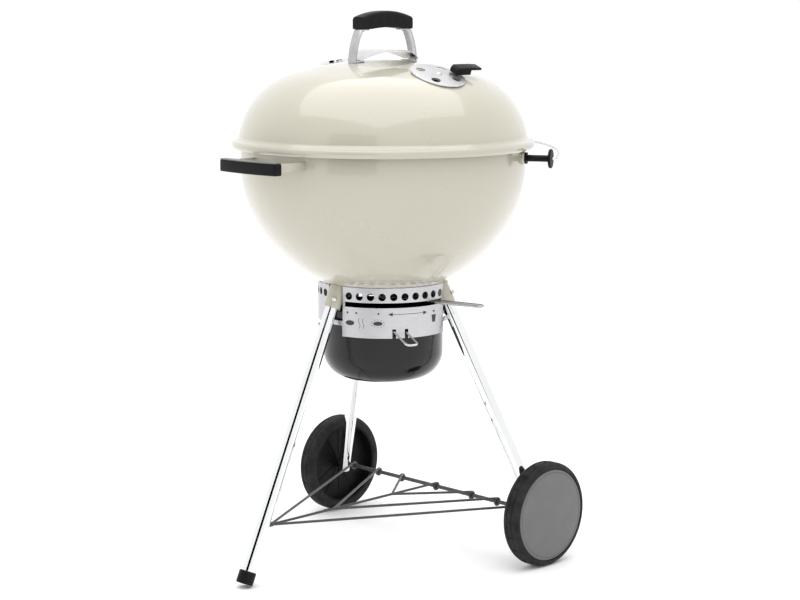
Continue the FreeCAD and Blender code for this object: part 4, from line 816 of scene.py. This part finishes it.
class KETTLE_OT_stage(bpy.types.Operator):
    """Set up the pale floor, the white room, the softbox and the camera"""

    bl_idname = "kettle.stage"
    bl_label = "Studio"

    def card(self, name, place, wide, high, tint):
        """A tall card that only reflections see, facing the kettle."""
        bpy.ops.object.select_all(action="DESELECT")
        bpy.ops.mesh.primitive_plane_add(size=1, location=place)
        card = bpy.context.object
        card.name = name
        facing = Vector((AXIS.x, AXIS.y, place[2])) - Vector(place)
        card.rotation_euler = facing.to_track_quat("Z", "Y").to_euler()
        card.scale = (wide, high, 1)
        paint = Finish(f"{name}_paint", (tint, tint, tint), 0.9)
        paint.shader.inputs["Specular IOR Level"].default_value = 0.0
        card.data.materials.append(paint.material)
        card.visible_camera = False
        card.visible_diffuse = False
        card.visible_shadow = False
        card.visible_transmission = False

    def execute(self, context):
        studio, scene = context.scene.kettle_studio, context.scene
        bpy.ops.object.select_all(action="DESELECT")
        bpy.ops.mesh.primitive_plane_add(size=400, location=(0, 0, 0))
        floor = bpy.context.object
        floor.name = "studio_floor"
        paint = Finish("floor_paint", context.scene.kettle_colours.floor, 0.75)
        paint.shader.inputs["Specular IOR Level"].default_value = 0.1
        floor.data.materials.append(paint.material)

        room = bpy.data.worlds.new("white_room")
        room.use_nodes = True
        room.node_tree.nodes["Background"].inputs["Color"].default_value = (1, 1, 1, 1)
        room.node_tree.nodes["Background"].inputs["Strength"].default_value = studio.sky
        scene.world = room

        bpy.ops.object.light_add(type="AREA", location=(AXIS.x + 0.2, AXIS.y - 0.3, 3.4))
        softbox = bpy.context.object
        softbox.name = "overhead_softbox"
        softbox.data.shape = "RECTANGLE"
        softbox.data.size, softbox.data.size_y = 4.4, 4.4
        softbox.data.energy = studio.overhead

        a = studio.azimuth
        turn = a + studio.card_turn
        place = (AXIS.x + 6 * math.sin(turn), AXIS.y - 6 * math.cos(turn), 1.6)
        self.card("near_card", place, studio.card_width, 5.0, 0.0)

        view = bpy.data.cameras.new("camera")
        camera = bpy.data.objects.new("camera", view)
        scene.collection.objects.link(camera)
        camera.location = AXIS + Vector((studio.distance * math.sin(a), -studio.distance * math.cos(a),
                                         studio.height))
        camera.rotation_euler = (math.pi / 2 - studio.tilt, 0, a)
        view.lens, view.sensor_width = studio.lens, 36.0
        view.shift_x, view.shift_y = 0.0212, -0.0320
        view.clip_end = 500
        scene.camera = camera
        scene.view_settings.view_transform = "Standard"
        return {"FINISHED"}


class KETTLE_PT_panel(bpy.types.Panel):
    """The grill's sizes, colours and pieces"""

    bl_idname = "KETTLE_PT_panel"
    bl_label = "Kettle Grill"
    bl_space_type = "VIEW_3D"
    bl_region_type = "UI"
    bl_category = "Kettle Grill"

    def draw(self, context):
        layout = self.layout
        for group in (context.scene.kettle_colours, context.scene.kettle_sizes, context.scene.kettle_studio):
            box = layout.box()
            for key in type(group).__annotations__:
                box.prop(group, key)
        for operator in OPERATORS:
            layout.operator(operator.bl_idname)


OPERATORS = (KETTLE_OT_finishes, KETTLE_OT_wheels, KETTLE_OT_moulded, KETTLE_OT_pressed, KETTLE_OT_screws,
             KETTLE_OT_collar_marks, KETTLE_OT_stage)
GROUPS = {"kettle_colours": KettleColours, "kettle_sizes": KettleSizes, "kettle_studio": KettleStudio}


def register():
    for group in (*GROUPS.values(), *OPERATORS, KETTLE_PT_panel):
        bpy.utils.register_class(group)
    for key, group in GROUPS.items():
        setattr(bpy.types.Scene, key, PointerProperty(type=group))


def unregister():
    for key in GROUPS:
        delattr(bpy.types.Scene, key)
    for group in reversed((*GROUPS.values(), *OPERATORS, KETTLE_PT_panel)):
        bpy.utils.unregister_class(group)


def main():
    """Build every piece."""
    register()
    bpy.ops.kettle.finishes()
    bpy.ops.kettle.wheels()
    bpy.ops.kettle.moulded()
    bpy.ops.kettle.pressed()
    bpy.ops.kettle.screws()
    bpy.ops.kettle.collar_marks()
    bpy.ops.kettle.stage()


if __name__ == "__main__":
    main()
